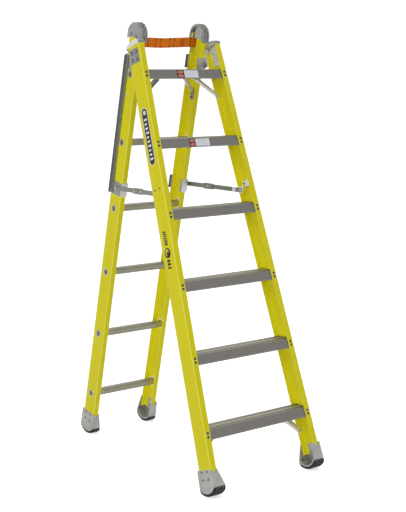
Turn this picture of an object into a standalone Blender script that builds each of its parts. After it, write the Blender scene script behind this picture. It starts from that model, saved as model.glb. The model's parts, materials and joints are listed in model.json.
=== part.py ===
"""Multi position ladder, standing open as a stepladder.

A stepped front section and a rung-type rear section are joined by a pivoting guide frame.
The guide frame folds about a pivot near the top, and the rear section slides through its guides.
Two folding spreader arms a side hold the legs apart.

Each section has its own frame: x across the ladder, d backwards from its reference face and
s up along its rails. World axes: +X to the right, -Y to the front and +Z up, floor at z = 0.
Metres throughout.
"""
import math

import bmesh
import bpy
from mathutils import Matrix, Vector

# Whole ladder
PITCH = 0.3048                      # step and rung spacing along the rails
STEP_COUNT = 6
GAP = 0.0003                        # clearance between pieces that touch
SIDES = {"left": -1, "right": 1}

# Front section: d from the front face of the rails, s from the rivets of step 1
FRONT_LEAN = math.radians(18.66)
FRONT_ORIGIN_Y = -0.49956           # puts the world origin under the middle of the whole ladder
STEP_ONE_HEIGHT = 0.246
FRONT_DEPTH = 0.082
FRONT_FLANGE = 0.030
FRONT_WALL = 0.004
FRONT_HALF_WIDTH = 0.2942           # outer face of the web at step 1
FRONT_TAPER = 0.0423                # how much each side closes in per metre up the rail
FRONT_TOP = 1.661

# Rear section: d from the middle of the rails, s from the middle of rung 1
REAR_LEAN = math.radians(12.80)
REAR_DEPTH = 0.080
REAR_FLANGE = 0.0275
REAR_WALL = 0.004
REAR_HALF_WIDTH = 0.1833
REAR_TOP = 1.703

# Main pivot between the front section and the guide frame
HINGE_BEHIND_FRONT = 0.088
HINGE_ALONG_FRONT = 1.5927
HINGE_AHEAD_REAR = 0.047
HINGE_ALONG_REAR = 1.5754
HINGE_PIN_RADIUS = 0.005

# Feet, one casting for all four rails; measured from the middle of the round sole
FOOT_RISE = 0.038                   # top edge above the middle of the sole
FOOT_HALF_DEPTH = 0.0453
FOOT_TOE = 0.048                    # half depth where the walls meet the round sole
SOLE_RADIUS = 0.058
FOOT_WALL = 0.004
FRONT_FOOT_WIDTHS = (0.0285, 0.056)  # front and back walls, at the top and at the sole
REAR_FOOT_WIDTHS = (0.0285, 0.041)
PAD_RADIUS = 0.0705
PAD_CENTRE_HEIGHT = 0.0698          # just less than the radius, so each pad stands on a flat

# Steps
STEP_NOSE = 0.0195                  # tread edge above the rivets
STEP_SKIRT = 0.021                  # front face below the rivets
STEP_BACK = 0.0744
STEP_METAL = 0.003
STEP_LIP_END = 0.002

# Rungs
RUNG_HALF_DEPTH = 0.017
RUNG_HALF_HEIGHT = 0.0145
RUNG_BORE = 0.009
FERRULE_RADIUS = 0.0175
FERRULE_THICK = 0.0017
COLLAR_RADIUS = 0.019
SPIGOT_RADIUS = 0.0125

# Guides, links and spreaders: x is the distance from the middle of the ladder
GUIDE_INNER_X = 0.1860
GUIDE_OUTER_X = 0.1888
GUIDE_HALF_DEPTH = 0.044
GUIDE_METAL = 0.0028
GUIDE_HEIGHT = 0.061
LOWER_GUIDE_ALONG = 1.0115
SPREADER_REAR_PIVOT = (-0.012, 1.014)
SPREADER_FRONT_PIVOT = (0.040, 1.003)
SPREADER_FRONT_REACH = 0.2212       # front pivot to the middle joint
SPREADER_HALF_HEIGHT = 0.0103
SPREADER_TAIL = 0.034
REAR_ARM_X = (0.1926, 0.1956)
FRONT_ARM_X = (0.1963, 0.1993)
SPREADER_EAR_X = (0.2001, 0.2031)
HINGE_EAR_X = (0.1900, 0.1932)
PIN_RADIUS = 0.004
PIN_HEAD_RADIUS = 0.007

YELLOW = (0.60, 0.54, 0.02)
STEP_GREY = (0.19, 0.18, 0.165)
STEEL = (0.42, 0.42, 0.41)
DARK_STEEL = (0.16, 0.165, 0.15)
CAST_GREY = (0.37, 0.37, 0.35)
RUBBER = (0.02, 0.02, 0.022)
GUARD_GREY = (0.28, 0.285, 0.28)
ORANGE = (0.78, 0.17, 0.01)


def clear_scene():
    for obj in list(bpy.data.objects):
        bpy.data.objects.remove(obj, do_unlink=True)


def material(name, colour, roughness, metallic):
    found = bpy.data.materials.get(name)
    if found:
        return found
    made = bpy.data.materials.new(name)
    made.use_nodes = True
    shader = made.node_tree.nodes["Principled BSDF"]
    shader.inputs["Base Color"].default_value = (*colour, 1.0)
    shader.inputs["Roughness"].default_value = roughness
    shader.inputs["Metallic"].default_value = metallic
    made.diffuse_color = (*colour, 1.0)
    return made


def section_frame(name, lean, y, z):
    """An empty whose local Y is the section's d and local Z its s; lean tips the top backwards."""
    frame = bpy.data.objects.new(name, None)
    frame.location = (0.0, y, z)
    frame.rotation_euler = (-lean, 0.0, 0.0)
    bpy.context.collection.objects.link(frame)
    return frame


def section_point(lean, y, z, d, s):
    """World (y, z) of the point (d, s) of a section whose origin is at (y, z)."""
    return (y + s * math.sin(lean) + d * math.cos(lean),
            z + s * math.cos(lean) - d * math.sin(lean))


def add_object(name, mesh, surface, frame, shift=(0.0, 0.0)):
    """Links a mesh under a frame; shift is the frame's own (d, s), taken off the vertices."""
    mesh.transform(Matrix.Translation((0.0, -shift[0], -shift[1])))
    mesh.materials.clear()
    mesh.materials.append(surface)
    mesh.shade_smooth()
    mesh.set_sharp_from_angle(angle=math.radians(35))
    obj = bpy.data.objects.new(name, mesh)
    obj.parent = frame
    bpy.context.collection.objects.link(obj)
    return obj


def mesh_from(bm, name="piece"):
    bmesh.ops.recalc_face_normals(bm, faces=bm.faces)
    mesh = bpy.data.meshes.new(name)
    bm.to_mesh(mesh)
    bm.free()
    return mesh


def loft(loops, ring=False):
    """Skins loops of equal length; the end loops are capped, or joined to each other in a ring."""
    bm = bmesh.new()
    rows = [[bm.verts.new(point) for point in loop] for loop in loops]
    pairs = list(zip(rows, rows[1:]))
    if ring:
        pairs.append((rows[-1], rows[0]))
    else:
        bm.faces.new(rows[0][::-1])
        bm.faces.new(rows[-1])
    for low, high in pairs:
        for i in range(len(low)):
            j = (i + 1) % len(low)
            bm.faces.new((low[i], low[j], high[j], high[i]))
    return mesh_from(bm)


def value_at(limit, d, s):
    return limit(d, s) if callable(limit) else limit


def slab(outline, side, x_from, x_to):
    """Solid with a (d, s) outline between two x limits, each a number or a function of (d, s)."""
    ends = [[(side * value_at(x, d, s), d, s) for d, s in outline] for x in (x_from, x_to)]
    return loft(ends)


def plate_facing_back(outline, d_from, d_to):
    """Solid with an (x, s) outline between two depths."""
    return loft([[(x, d, s) for x, s in outline] for d in (d_from, d_to)])


def column(outline, s_from, s_to, x_shift=lambda s: 0.0):
    """Solid with an (x, d) outline between two heights; x_shift moves it sideways with height."""
    return loft([[(x + x_shift(s), d, s) for x, d in outline] for s in (s_from, s_to)])


def arc(centre, radius, start, end, count):
    """Points on an arc, angles in degrees from +d towards +s."""
    points = []
    for i in range(count + 1):
        angle = math.radians(start + (end - start) * i / count)
        points.append((centre[0] + radius * math.cos(angle), centre[1] + radius * math.sin(angle)))
    return points


def circle(centre, radius, count):
    turn = 180 / count
    return arc(centre, radius, turn, 360 - turn, count - 1)


def disc(side, centre, radius, x_from, x_to, count=20):
    return slab(circle(centre, radius, count), side, x_from, x_to)


def turned(side, centre, profile, count=20):
    """Round piece along x: profile is a list of (x, radius)."""
    loops = []
    for x, radius in profile:
        loops.append([(side * x, d, s) for d, s in circle(centre, radius, count)])
    return loft(loops)


def combine(base, others, operation):
    """Boolean of one mesh with others, as a new mesh."""
    holder = bpy.data.objects.new("holder", base)
    bpy.context.collection.objects.link(holder)
    tools = []
    for other in others:
        tool = bpy.data.objects.new("tool", other)
        bpy.context.collection.objects.link(tool)
        tool.hide_render = True
        tool.display_type = "WIRE"
        step = holder.modifiers.new("combine", "BOOLEAN")
        step.operation = operation
        step.object = tool
        tools.append(tool)
    bpy.context.view_layer.update()
    shape = holder.evaluated_get(bpy.context.evaluated_depsgraph_get())
    result = bpy.data.meshes.new_from_object(shape)
    for used in [holder] + tools:
        bpy.data.objects.remove(used, do_unlink=True)
    return result


def joined(meshes):
    return combine(meshes[0], meshes[1:], "UNION")


def cut(mesh, cutters):
    return combine(mesh, cutters, "DIFFERENCE")


def front_web(s):
    """Outer face of a front rail's web."""
    return FRONT_HALF_WIDTH - FRONT_TAPER * s


def from_front_web(inward):
    """x limit at a distance inwards from the outer face of a front rail."""
    return lambda d, s: front_web(s) - inward


def rear_web(s):
    return REAR_HALF_WIDTH


def from_rear_web(inward):
    return lambda d, s: REAR_HALF_WIDTH - inward


def channel_outline(side, web, flange, wall, d_low, d_high):
    """C section, its web outside at x = web and its flanges inwards, with rounded outer corners."""
    corner = 0.006
    outer = []
    for d_middle, turn in ((d_low + corner, (270, 360)), (d_high - corner, (0, 90))):
        outer += arc((web - corner, d_middle), corner, turn[0], turn[1], 4)
    tip = web - flange
    inner = web - wall
    points = [(tip, d_low)] + outer + [(tip, d_high), (tip, d_high - wall), (inner, d_high - wall),
                                      (inner, d_low + wall), (tip, d_low + wall)]
    return [(side * x, d) for x, d in points]


def front_rail(side):
    outline = channel_outline(side, 0.0, FRONT_FLANGE, FRONT_WALL, 0.0, FRONT_DEPTH)
    bottom = front_foot_centre()[1] - 0.012
    return column(outline, bottom, FRONT_TOP, lambda s: side * front_web(s))


def rear_rail(side):
    half = REAR_DEPTH / 2
    outline = channel_outline(side, REAR_HALF_WIDTH, REAR_FLANGE, REAR_WALL, -half, half)
    rail = column(outline, rear_foot_centre()[1] - 0.012, REAR_TOP)
    holes = []
    for k in range(STEP_COUNT):
        holes.append(disc(side, (0.0, k * PITCH), SPIGOT_RADIUS + GAP, REAR_HALF_WIDTH - 0.02,
                          REAR_HALF_WIDTH + 0.02, 16))
    return cut(rail, holes)


def front_foot_centre():
    d = FRONT_DEPTH / 2
    s = (PAD_CENTRE_HEIGHT - STEP_ONE_HEIGHT + d * math.sin(FRONT_LEAN)) / math.cos(FRONT_LEAN)
    return (d, s)


def rear_foot_centre():
    return (0.0, (PAD_CENTRE_HEIGHT - rear_origin()[1]) / math.cos(REAR_LEAN))


def hinge_point():
    return section_point(FRONT_LEAN, FRONT_ORIGIN_Y, STEP_ONE_HEIGHT,
                         HINGE_BEHIND_FRONT, HINGE_ALONG_FRONT)


def rear_origin():
    """World (y, z) of the rear section's origin, worked back from the main pivot."""
    y, z = hinge_point()
    down_y, down_z = section_point(-REAR_LEAN, 0.0, 0.0, -HINGE_AHEAD_REAR, HINGE_ALONG_REAR)
    return (y - down_y, z - down_z)


def sole_angles(radius):
    """Angles where the round sole meets the front and back walls of a foot."""
    spread = math.degrees(math.asin(FOOT_TOE / radius))
    return 270 - spread, 270 + spread


def foot(side, centre, web_limit, widths):
    """Cast boot around a rail end: outer, front and back walls and a round sole, open inwards."""
    d, s = centre
    start, end = sole_angles(SOLE_RADIUS)
    outline = [(d - FOOT_HALF_DEPTH, s + FOOT_RISE)]
    outline += arc(centre, SOLE_RADIUS, start, end, 14)
    outline += [(d + FOOT_HALF_DEPTH, s + FOOT_RISE)]

    def inner_edge(depth, along):
        width = widths[0] if along > s + FOOT_RISE - 0.001 else widths[1]
        return web_limit(width)(depth, along)

    body = slab(outline, side, web_limit(-FOOT_WALL), inner_edge)
    hollow_radius = SOLE_RADIUS - FOOT_WALL
    hollow_half = FOOT_HALF_DEPTH - FOOT_WALL
    spread = math.degrees(math.asin((FOOT_TOE - FOOT_WALL - 0.001) / hollow_radius))
    hollow = [(d - hollow_half, s + FOOT_RISE + 0.02)]
    hollow += arc(centre, hollow_radius, 270 - spread, 270 + spread, 12)
    hollow += [(d + hollow_half, s + FOOT_RISE + 0.02)]
    cavity = slab(hollow, side, web_limit(-GAP), web_limit(widths[1] + 0.03))
    return cut(body, [cavity])


def clip_above(points, height_of):
    """Part of a closed outline where height_of is not negative."""
    kept = []
    for i, point in enumerate(points):
        before = points[i - 1]
        h_before, h_point = height_of(before), height_of(point)
        if h_before * h_point < 0:
            share = h_before / (h_before - h_point)
            kept.append(tuple(a + share * (b - a) for a, b in zip(before, point)))
        if h_point >= 0:
            kept.append(point)
    return kept


def foot_pad(side, centre, web_limit, widths, lean):
    """Rubber sole around the round end of a foot, with a flat where it meets the floor."""
    start, end = sole_angles(SOLE_RADIUS)
    outline = arc(centre, PAD_RADIUS, start, end, 22)
    outline += arc(centre, SOLE_RADIUS + GAP, end, start, 14)

    def above_floor(point):
        d, s = point[0] - centre[0], point[1] - centre[1]
        return PAD_CENTRE_HEIGHT + s * math.cos(lean) - d * math.sin(lean)

    outline = clip_above(outline, above_floor)
    return slab(outline, side, web_limit(-0.003), web_limit(widths[1] - 0.0005))


def front_step(k):
    """Pressed step: level tread, skirt along the front of the rails and a lip at the back."""
    base = k * PITCH
    slope = math.tan(FRONT_LEAN)
    front = FRONT_WALL + GAP
    inner_front = front + STEP_METAL
    inner_back = STEP_BACK - STEP_METAL

    def tread(d):
        return base + STEP_NOSE + (d - front) * slope

    under = STEP_METAL / math.cos(FRONT_LEAN)
    outline = [(front, base - STEP_SKIRT), (front, tread(front)), (STEP_BACK, tread(STEP_BACK)),
               (STEP_BACK, base + STEP_LIP_END), (inner_back, base + STEP_LIP_END),
               (inner_back, tread(inner_back) - under), (inner_front, tread(inner_front) - under),
               (inner_front, base - STEP_SKIRT)]
    inward = FRONT_WALL + GAP
    ends = [[(side * (front_web(s) - inward), d, s) for d, s in outline] for side in (-1, 1)]
    return loft(ends)


def step_brace(side, k, low_drop, upper_x, upper_rise, low_width, top_width):
    """Angle strut in the plane of the back flanges, from a rail up to a step's back lip."""
    low_s = k * PITCH - low_drop
    low = Vector((front_web(low_s) - 0.020, low_s))
    top = Vector((upper_x, k * PITCH + upper_rise))
    run = (top - low).normalized()
    across = Vector((run.y, -run.x))
    if across.y < 0:
        across = -across
    foot_end = low - run * 0.008
    outline = [foot_end - across * low_width / 2, foot_end + across * low_width / 2,
               top + across * top_width / 2, top - across * top_width / 2]
    back = FRONT_DEPTH - FRONT_WALL - GAP
    metal = 0.003
    leaf = plate_facing_back([(side * p.x, p.y) for p in outline], back - metal, back)
    edge_low = low - across * low_width / 2 + run * 0.016
    edge_top = edge_low + run * 0.62 * (top - low).length
    inward = across * 0.0025
    turned_edge = [edge_low, edge_low + inward, edge_top + inward, edge_top]
    flange = plate_facing_back([(side * p.x, p.y) for p in turned_edge], back - 0.013, back - 0.001)
    return joined([leaf, flange])


def top_hinge_bracket(side):
    """Pressed bracket in the top of a front rail: domed cap, web plate, back tab and pivot ear."""
    pivot = (HINGE_BEHIND_FRONT, HINGE_ALONG_FRONT)
    seat = FRONT_TOP + GAP
    ear_inner, ear_outer = HINGE_EAR_X
    dome = [(-0.002, seat), (-0.001, seat + 0.013), (0.010, seat + 0.0190), (0.030, seat + 0.0225),
            (0.052, seat + 0.0230), (0.072, seat + 0.0195), (0.086, seat + 0.0120), (0.093, seat + 0.002),
            (0.0935, seat - 0.006), (0.0835, seat - 0.006), (0.0825, seat)]
    cap = slab(dome, side, from_front_web(-0.0015), ear_inner)
    lap = seat + 0.0012
    web_plate = [(0.006, 1.573), (0.070, 1.573), (0.070, lap), (0.006, lap)]
    web = slab(web_plate, side, from_front_web(FRONT_WALL + GAP), from_front_web(0.0075))
    back = FRONT_DEPTH - FRONT_WALL - GAP
    tab_outline = [(back - 0.003, 1.640), (back, 1.640), (back, lap), (back - 0.003, lap)]
    tab = slab(tab_outline, side, from_front_web(FRONT_WALL + GAP), ear_inner)
    ear_outline = [(0.074, lap), (0.074, 1.600)]
    ear_outline += arc(pivot, 0.0135, 190, 400, 10)
    ear_outline += [(0.0845, 1.622), (0.0845, lap)]
    ear = slab(ear_outline, side, ear_inner, ear_outer)
    bore = disc(side, pivot, HINGE_PIN_RADIUS + GAP, ear_inner - 0.01, ear_outer + 0.01)
    return cut(joined([cap, web, tab, ear]), [bore])


def hinge_plate(side):
    outline = [(0.009, 1.583), (0.072, 1.583), (0.073, 1.649), (0.010, 1.645)]
    return slab(outline, side, from_front_web(-GAP - 0.003), from_front_web(-GAP))


def hinge_pin(side):
    """Shouldered rivet through the bracket ear and the guide ear."""
    pivot = (HINGE_BEHIND_FRONT, HINGE_ALONG_FRONT)
    head = HINGE_EAR_X[1] + GAP
    shoulder = HINGE_EAR_X[0] - GAP
    return turned(side, pivot, [(GUIDE_INNER_X + 0.0002, HINGE_PIN_RADIUS),
                                (GUIDE_OUTER_X + GAP, HINGE_PIN_RADIUS),
                                (GUIDE_OUTER_X + GAP + 0.00001, 0.008), (shoulder, 0.008),
                                (shoulder + 0.00001, HINGE_PIN_RADIUS), (head, HINGE_PIN_RADIUS),
                                (head + 0.00001, 0.008), (head + 0.0015, 0.008),
                                (head + 0.0025, 0.006)])


def spreader_bracket(side):
    """Bracket on a front web that carries the spreader's front pivot inboard of the flanges."""
    pivot = SPREADER_FRONT_PIVOT
    ear_inner, ear_outer = SPREADER_EAR_X
    base_outline = [(0.014, 1.016), (0.066, 1.016), (0.066, 1.047), (0.014, 1.047)]
    base = slab(base_outline, side, from_front_web(FRONT_WALL + GAP), from_front_web(0.0073))
    shelf_outline = [(0.026, 1.016), (0.054, 1.016), (0.054, 1.019), (0.026, 1.019)]
    shelf = slab(shelf_outline, side, from_front_web(0.006), ear_inner + 0.0005)
    ear_outline = [(0.026, 1.019)] + arc(pivot, 0.0135, 190, 350, 8) + [(0.054, 1.019)]
    ear = slab(ear_outline, side, ear_inner, ear_outer)
    bore = disc(side, pivot, PIN_RADIUS + GAP, ear_inner - 0.01, ear_outer + 0.01, 16)
    return cut(joined([base, shelf, ear]), [bore])


def spreader_front_pin(side):
    inner = FRONT_ARM_X[0] - GAP
    outer = SPREADER_EAR_X[1] + GAP
    return turned(side, SPREADER_FRONT_PIVOT,
                  [(inner - 0.0022, 0.005), (inner - 0.0015, PIN_HEAD_RADIUS),
                   (inner, PIN_HEAD_RADIUS), (inner + 0.00001, PIN_RADIUS),
                   (outer, PIN_RADIUS), (outer + 0.00001, PIN_HEAD_RADIUS),
                   (outer + 0.0015, PIN_HEAD_RADIUS), (outer + 0.0022, 0.005)], 16)


def spreader_rear_pin(side):
    outer = REAR_ARM_X[1] + GAP
    shoulder = REAR_ARM_X[0] - GAP
    return turned(side, SPREADER_REAR_PIVOT,
                  [(GUIDE_INNER_X + 0.0002, PIN_RADIUS), (GUIDE_OUTER_X + GAP, PIN_RADIUS),
                   (GUIDE_OUTER_X + GAP + 0.00001, PIN_HEAD_RADIUS), (shoulder, PIN_HEAD_RADIUS),
                   (shoulder + 0.00001, PIN_RADIUS), (outer, PIN_RADIUS),
                   (outer + 0.00001, PIN_HEAD_RADIUS), (outer + 0.0015, PIN_HEAD_RADIUS),
                   (outer + 0.0022, 0.005)], 16)


def spreader_arm(side, x_limits, pivot, angle, reach):
    """Flat bar from its pivot past the middle joint, wider where the two arms lap."""
    half = SPREADER_HALF_HEIGHT
    lap = half + 0.003
    straight = arc((0.0, 0.0), half, 90, 270, 8)
    straight += [(reach - SPREADER_TAIL, -half), (reach - SPREADER_TAIL + 0.004, -lap),
                 (reach + SPREADER_TAIL, -lap), (reach + SPREADER_TAIL, lap),
                 (reach - SPREADER_TAIL + 0.004, lap), (reach - SPREADER_TAIL, half)]
    cosine, sine = math.cos(angle), math.sin(angle)
    outline = []
    for u, v in straight:
        outline.append((pivot[0] + u * cosine - v * sine, pivot[1] + u * sine + v * cosine))
    bar = slab(outline, side, *x_limits)
    bore = disc(side, pivot, PIN_RADIUS + GAP, x_limits[0] - 0.01, x_limits[1] + 0.01, 16)
    return cut(bar, [bore])


def guide(side, middle, ear=None, pin_at=None):
    """C sleeve around a rear rail, hooked over its flange tips, with a lip along the back."""
    half = GUIDE_HALF_DEPTH
    metal = GUIDE_METAL
    tip = REAR_HALF_WIDTH - REAR_FLANGE - 0.001
    hook = 0.012
    lip = 0.008
    low, high = middle - GUIDE_HEIGHT / 2, middle + GUIDE_HEIGHT / 2
    corner = 0.003
    points = [(tip - metal, -half), (GUIDE_OUTER_X - corner, -half), (GUIDE_OUTER_X, -half + corner),
              (GUIDE_OUTER_X, half - corner), (GUIDE_OUTER_X - corner, half), (tip - metal - lip, half),
              (tip - metal - lip, half - metal), (tip - metal, half - metal), (tip - metal, half - hook),
              (tip, half - hook), (tip, half - metal), (GUIDE_INNER_X, half - metal),
              (GUIDE_INNER_X, metal - half), (tip, metal - half), (tip, hook - half),
              (tip - metal, hook - half)]
    body = column([(side * x, d) for x, d in points], low, high)
    holes = []
    if ear:
        outline = arc(ear, 0.0125, 120, 240, 8) + [(-0.036, low + 0.002), (-0.036, high - 0.002)]
        body = joined([body, slab(outline, side, GUIDE_INNER_X + 0.00015, GUIDE_OUTER_X - 0.00015)])
        holes.append(disc(side, ear, HINGE_PIN_RADIUS + GAP, GUIDE_INNER_X - 0.0006, GUIDE_OUTER_X + 0.01))
    if pin_at:
        holes.append(disc(side, pin_at, PIN_RADIUS + GAP, GUIDE_INNER_X - 0.001, GUIDE_OUTER_X + 0.01, 16))
    return cut(body, holes)


def guide_link(side):
    """Steel angle that ties the upper and lower guides of one side together."""
    x0 = GUIDE_OUTER_X + GAP
    metal = 0.0028
    low = LOWER_GUIDE_ALONG - GUIDE_HEIGHT / 2 + 0.003
    high = HINGE_ALONG_REAR + GUIDE_HEIGHT / 2 - 0.002
    leaf_front, leaf_back, reach = 0.014, 0.033, 0.013
    outline = [(x0, leaf_front), (x0 + metal, leaf_front), (x0 + metal, leaf_back - metal),
               (x0 + reach, leaf_back - metal), (x0 + reach, leaf_back), (x0, leaf_back)]
    return column([(side * x, d) for x, d in outline], low, high)


def rung_section(angle):
    """Radius of a rung at an angle: a rounded rectangle between a circle and a box."""
    power = 4.0
    c = abs(math.cos(angle)) / RUNG_HALF_DEPTH
    s = abs(math.sin(angle)) / RUNG_HALF_HEIGHT
    return (c ** power + s ** power) ** (-1 / power)


def rung(k):
    """Hollow rung with swaged collars inside the webs and flared ferrules outside them."""
    count = 16
    base = k * PITCH
    angles = [2 * math.pi * (i + 0.5) / count for i in range(count)]
    inner_web = REAR_HALF_WIDTH - REAR_WALL

    def hoop(x, radius):
        return [(x, radius * math.cos(a), base + radius * math.sin(a)) for a in angles]

    def bar(x):
        return [(x, rung_section(a) * math.cos(a), base + rung_section(a) * math.sin(a))
                for a in angles]

    outer_face = REAR_HALF_WIDTH + GAP
    collar = inner_web - GAP
    right = [hoop(outer_face + FERRULE_THICK, RUNG_BORE),
             hoop(outer_face + FERRULE_THICK, FERRULE_RADIUS - 0.001),
             hoop(outer_face + FERRULE_THICK - 0.0006, FERRULE_RADIUS),
             hoop(outer_face, FERRULE_RADIUS), hoop(outer_face, SPIGOT_RADIUS),
             hoop(collar, SPIGOT_RADIUS), hoop(collar, COLLAR_RADIUS),
             hoop(collar - 0.0025, COLLAR_RADIUS), bar(collar - 0.0032)]
    left = [[(-x, d, s) for x, d, s in loop] for loop in reversed(right)]
    return loft(right + left, ring=True)


def rear_brace(side):
    """Strut from the underside of the top rung down to a rear web, with a foot plate."""
    web = REAR_HALF_WIDTH - REAR_WALL - GAP
    rung_under = (STEP_COUNT - 1) * PITCH - RUNG_HALF_HEIGHT - GAP
    metal = 0.003
    pad_low, pad_high = 1.412, 1.450
    bend_x = web - 0.060
    outline = [(web, pad_low), (web, pad_high + 0.001), (bend_x, rung_under), (bend_x - 0.022, rung_under),
               (bend_x - 0.022, rung_under - metal), (bend_x - 0.012, rung_under - metal),
               (web - metal, pad_high - 0.0125), (web - metal, pad_low)]
    return plate_facing_back([(side * x, s) for x, s in outline], -0.008, 0.008)


def mar_guard(side):
    """Moulded hood over the top of a rear rail, hollow and open inwards."""
    middle = (0.0, REAR_TOP - 0.006)
    hem = REAR_TOP - 0.029
    outline = [(-0.052, hem)] + arc(middle, 0.052, 180, 0, 18) + [(0.052, hem)]
    body = slab(outline, side, from_rear_web(-0.0037), from_rear_web(0.0305))
    inner = [(-0.0404, hem - 0.02)] + arc(middle, 0.0412, 166, 14, 14) + [(0.0404, hem - 0.02)]
    cavity = slab(inner, side, from_rear_web(-GAP), from_rear_web(0.06))
    return cut(body, [cavity])


def strap_bar(side):
    """Clamp bar on the inner face of a rear rail's back flange, under the end of the strap."""
    back = REAR_DEPTH / 2 - REAR_WALL - GAP
    outline = [(0.1585, 1.614), (0.1725, 1.614), (0.1725, 1.699), (0.1585, 1.699)]
    return plate_facing_back([(side * x, s) for x, s in outline], back - 0.0025, back)


def pole_strap():
    """Webbing strap across the top of the rear section, for standing against a pole."""
    back = REAR_DEPTH / 2 - REAR_WALL - 2 * GAP - 0.0025
    half = 0.1770
    outline = [(-half, 1.642), (half, 1.642), (half, 1.685), (-half, 1.685)]
    return plate_facing_back(outline, back - 0.0018, back)


def spreader_angles():
    """Directions of the front and rear arms in their own section frames, with the legs open."""
    front_y, front_z = section_point(FRONT_LEAN, FRONT_ORIGIN_Y, STEP_ONE_HEIGHT, *SPREADER_FRONT_PIVOT)
    origin_y, origin_z = rear_origin()
    rear_y, rear_z = section_point(-REAR_LEAN, origin_y, origin_z, *SPREADER_REAR_PIVOT)
    slope = math.atan2(rear_z - front_z, rear_y - front_y)
    span = math.hypot(rear_y - front_y, rear_z - front_z)
    return slope + FRONT_LEAN, slope + math.pi - REAR_LEAN, span


def build_front_section(frame):
    yellow = material("rail_yellow", YELLOW, 0.35, 0.0)
    steps = material("step_aluminium", STEP_GREY, 0.5, 0.7)
    steel = material("bright_steel", STEEL, 0.4, 0.8)
    dark = material("dark_steel", DARK_STEEL, 0.5, 0.7)
    cast = material("cast_aluminium", CAST_GREY, 0.55, 0.5)
    rubber = material("black_rubber", RUBBER, 0.8, 0.0)
    for k in range(STEP_COUNT):
        add_object(f"front_step_{k + 1}", front_step(k), steps, frame)
    for name, side in SIDES.items():
        centre = front_foot_centre()
        add_object(f"front_rail_{name}", front_rail(side), yellow, frame)
        add_object(f"front_foot_{name}", foot(side, centre, from_front_web, FRONT_FOOT_WIDTHS), cast, frame)
        pad = foot_pad(side, centre, from_front_web, FRONT_FOOT_WIDTHS, FRONT_LEAN)
        add_object(f"front_foot_pad_{name}", pad, rubber, frame)
        top_brace = step_brace(side, STEP_COUNT - 1, 0.081, 0.095, 0.012, 0.020, 0.020)
        add_object(f"top_step_brace_{name}", top_brace, steel, frame)
        bottom_brace = step_brace(side, 0, 0.076, 0.185, 0.010, 0.022, 0.036)
        add_object(f"bottom_step_brace_{name}", bottom_brace, steel, frame)
        add_object(f"top_hinge_bracket_{name}", top_hinge_bracket(side), steel, frame)
        add_object(f"hinge_plate_{name}", hinge_plate(side), dark, frame)
        add_object(f"hinge_pin_{name}", hinge_pin(side), steel, frame)
        add_object(f"spreader_bracket_{name}", spreader_bracket(side), steel, frame)
        add_object(f"spreader_front_pin_{name}", spreader_front_pin(side), steel, frame)


def build_guide_frame(frame, pivot):
    dark = material("dark_steel", DARK_STEEL, 0.5, 0.7)
    steel = material("bright_steel", STEEL, 0.4, 0.8)
    for name, side in SIDES.items():
        upper = guide(side, HINGE_ALONG_REAR, ear=pivot)
        add_object(f"upper_guide_{name}", upper, steel, frame, pivot)
        lower = guide(side, LOWER_GUIDE_ALONG, pin_at=SPREADER_REAR_PIVOT)
        add_object(f"lower_guide_{name}", lower, steel, frame, pivot)
        add_object(f"guide_link_{name}", guide_link(side), dark, frame, pivot)
        add_object(f"spreader_rear_pin_{name}", spreader_rear_pin(side), steel, frame, pivot)


def build_rear_section(frame):
    yellow = material("rail_yellow", YELLOW, 0.35, 0.0)
    rungs = material("step_aluminium", STEP_GREY, 0.5, 0.7)
    steel = material("bright_steel", STEEL, 0.4, 0.8)
    cast = material("cast_aluminium", CAST_GREY, 0.55, 0.5)
    rubber = material("black_rubber", RUBBER, 0.8, 0.0)
    guard = material("guard_grey", GUARD_GREY, 0.6, 0.0)
    webbing = material("orange_webbing", ORANGE, 0.8, 0.0)
    for k in range(STEP_COUNT):
        add_object(f"rung_{k + 1}", rung(k), rungs, frame)
    add_object("pole_strap", pole_strap(), webbing, frame)
    for name, side in SIDES.items():
        centre = rear_foot_centre()
        add_object(f"rear_rail_{name}", rear_rail(side), yellow, frame)
        add_object(f"rear_foot_{name}", foot(side, centre, from_rear_web, REAR_FOOT_WIDTHS), cast, frame)
        pad = foot_pad(side, centre, from_rear_web, REAR_FOOT_WIDTHS, -REAR_LEAN)
        add_object(f"rear_foot_pad_{name}", pad, rubber, frame)
        add_object(f"mar_guard_{name}", mar_guard(side), guard, frame)
        add_object(f"rear_brace_{name}", rear_brace(side), steel, frame)
        add_object(f"strap_bar_{name}", strap_bar(side), steel, frame)


def build_spreaders():
    steel = material("spreader_steel", (0.20, 0.20, 0.17), 0.5, 0.7)
    front_angle, rear_angle, span = spreader_angles()
    origin = rear_origin()
    front_place = section_point(FRONT_LEAN, FRONT_ORIGIN_Y, STEP_ONE_HEIGHT, *SPREADER_FRONT_PIVOT)
    rear_place = section_point(-REAR_LEAN, *origin, *SPREADER_REAR_PIVOT)
    arms = (("front", FRONT_LEAN, front_place, FRONT_ARM_X, SPREADER_FRONT_PIVOT, front_angle,
             SPREADER_FRONT_REACH),
            ("rear", -REAR_LEAN, rear_place, REAR_ARM_X, SPREADER_REAR_PIVOT, rear_angle,
             span - SPREADER_FRONT_REACH))
    for part, lean, place, x_limits, pivot, angle, reach in arms:
        frame = section_frame(f"spreader_{part}_axis", lean, *place)
        for name, side in SIDES.items():
            arm = spreader_arm(side, x_limits, pivot, angle, reach)
            add_object(f"spreader_{part}_{name}", arm, steel, frame, pivot)


def main():
    clear_scene()
    front = section_frame("front_frame", FRONT_LEAN, FRONT_ORIGIN_Y, STEP_ONE_HEIGHT)
    hinge = section_frame("frame_fold_axis", -REAR_LEAN, *hinge_point())
    rear = section_frame("rear_slide_axis", -REAR_LEAN, *rear_origin())
    build_front_section(front)
    build_guide_frame(hinge, (-HINGE_AHEAD_REAR, HINGE_ALONG_REAR))
    build_rear_section(rear)
    build_spreaders()


main()
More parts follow.
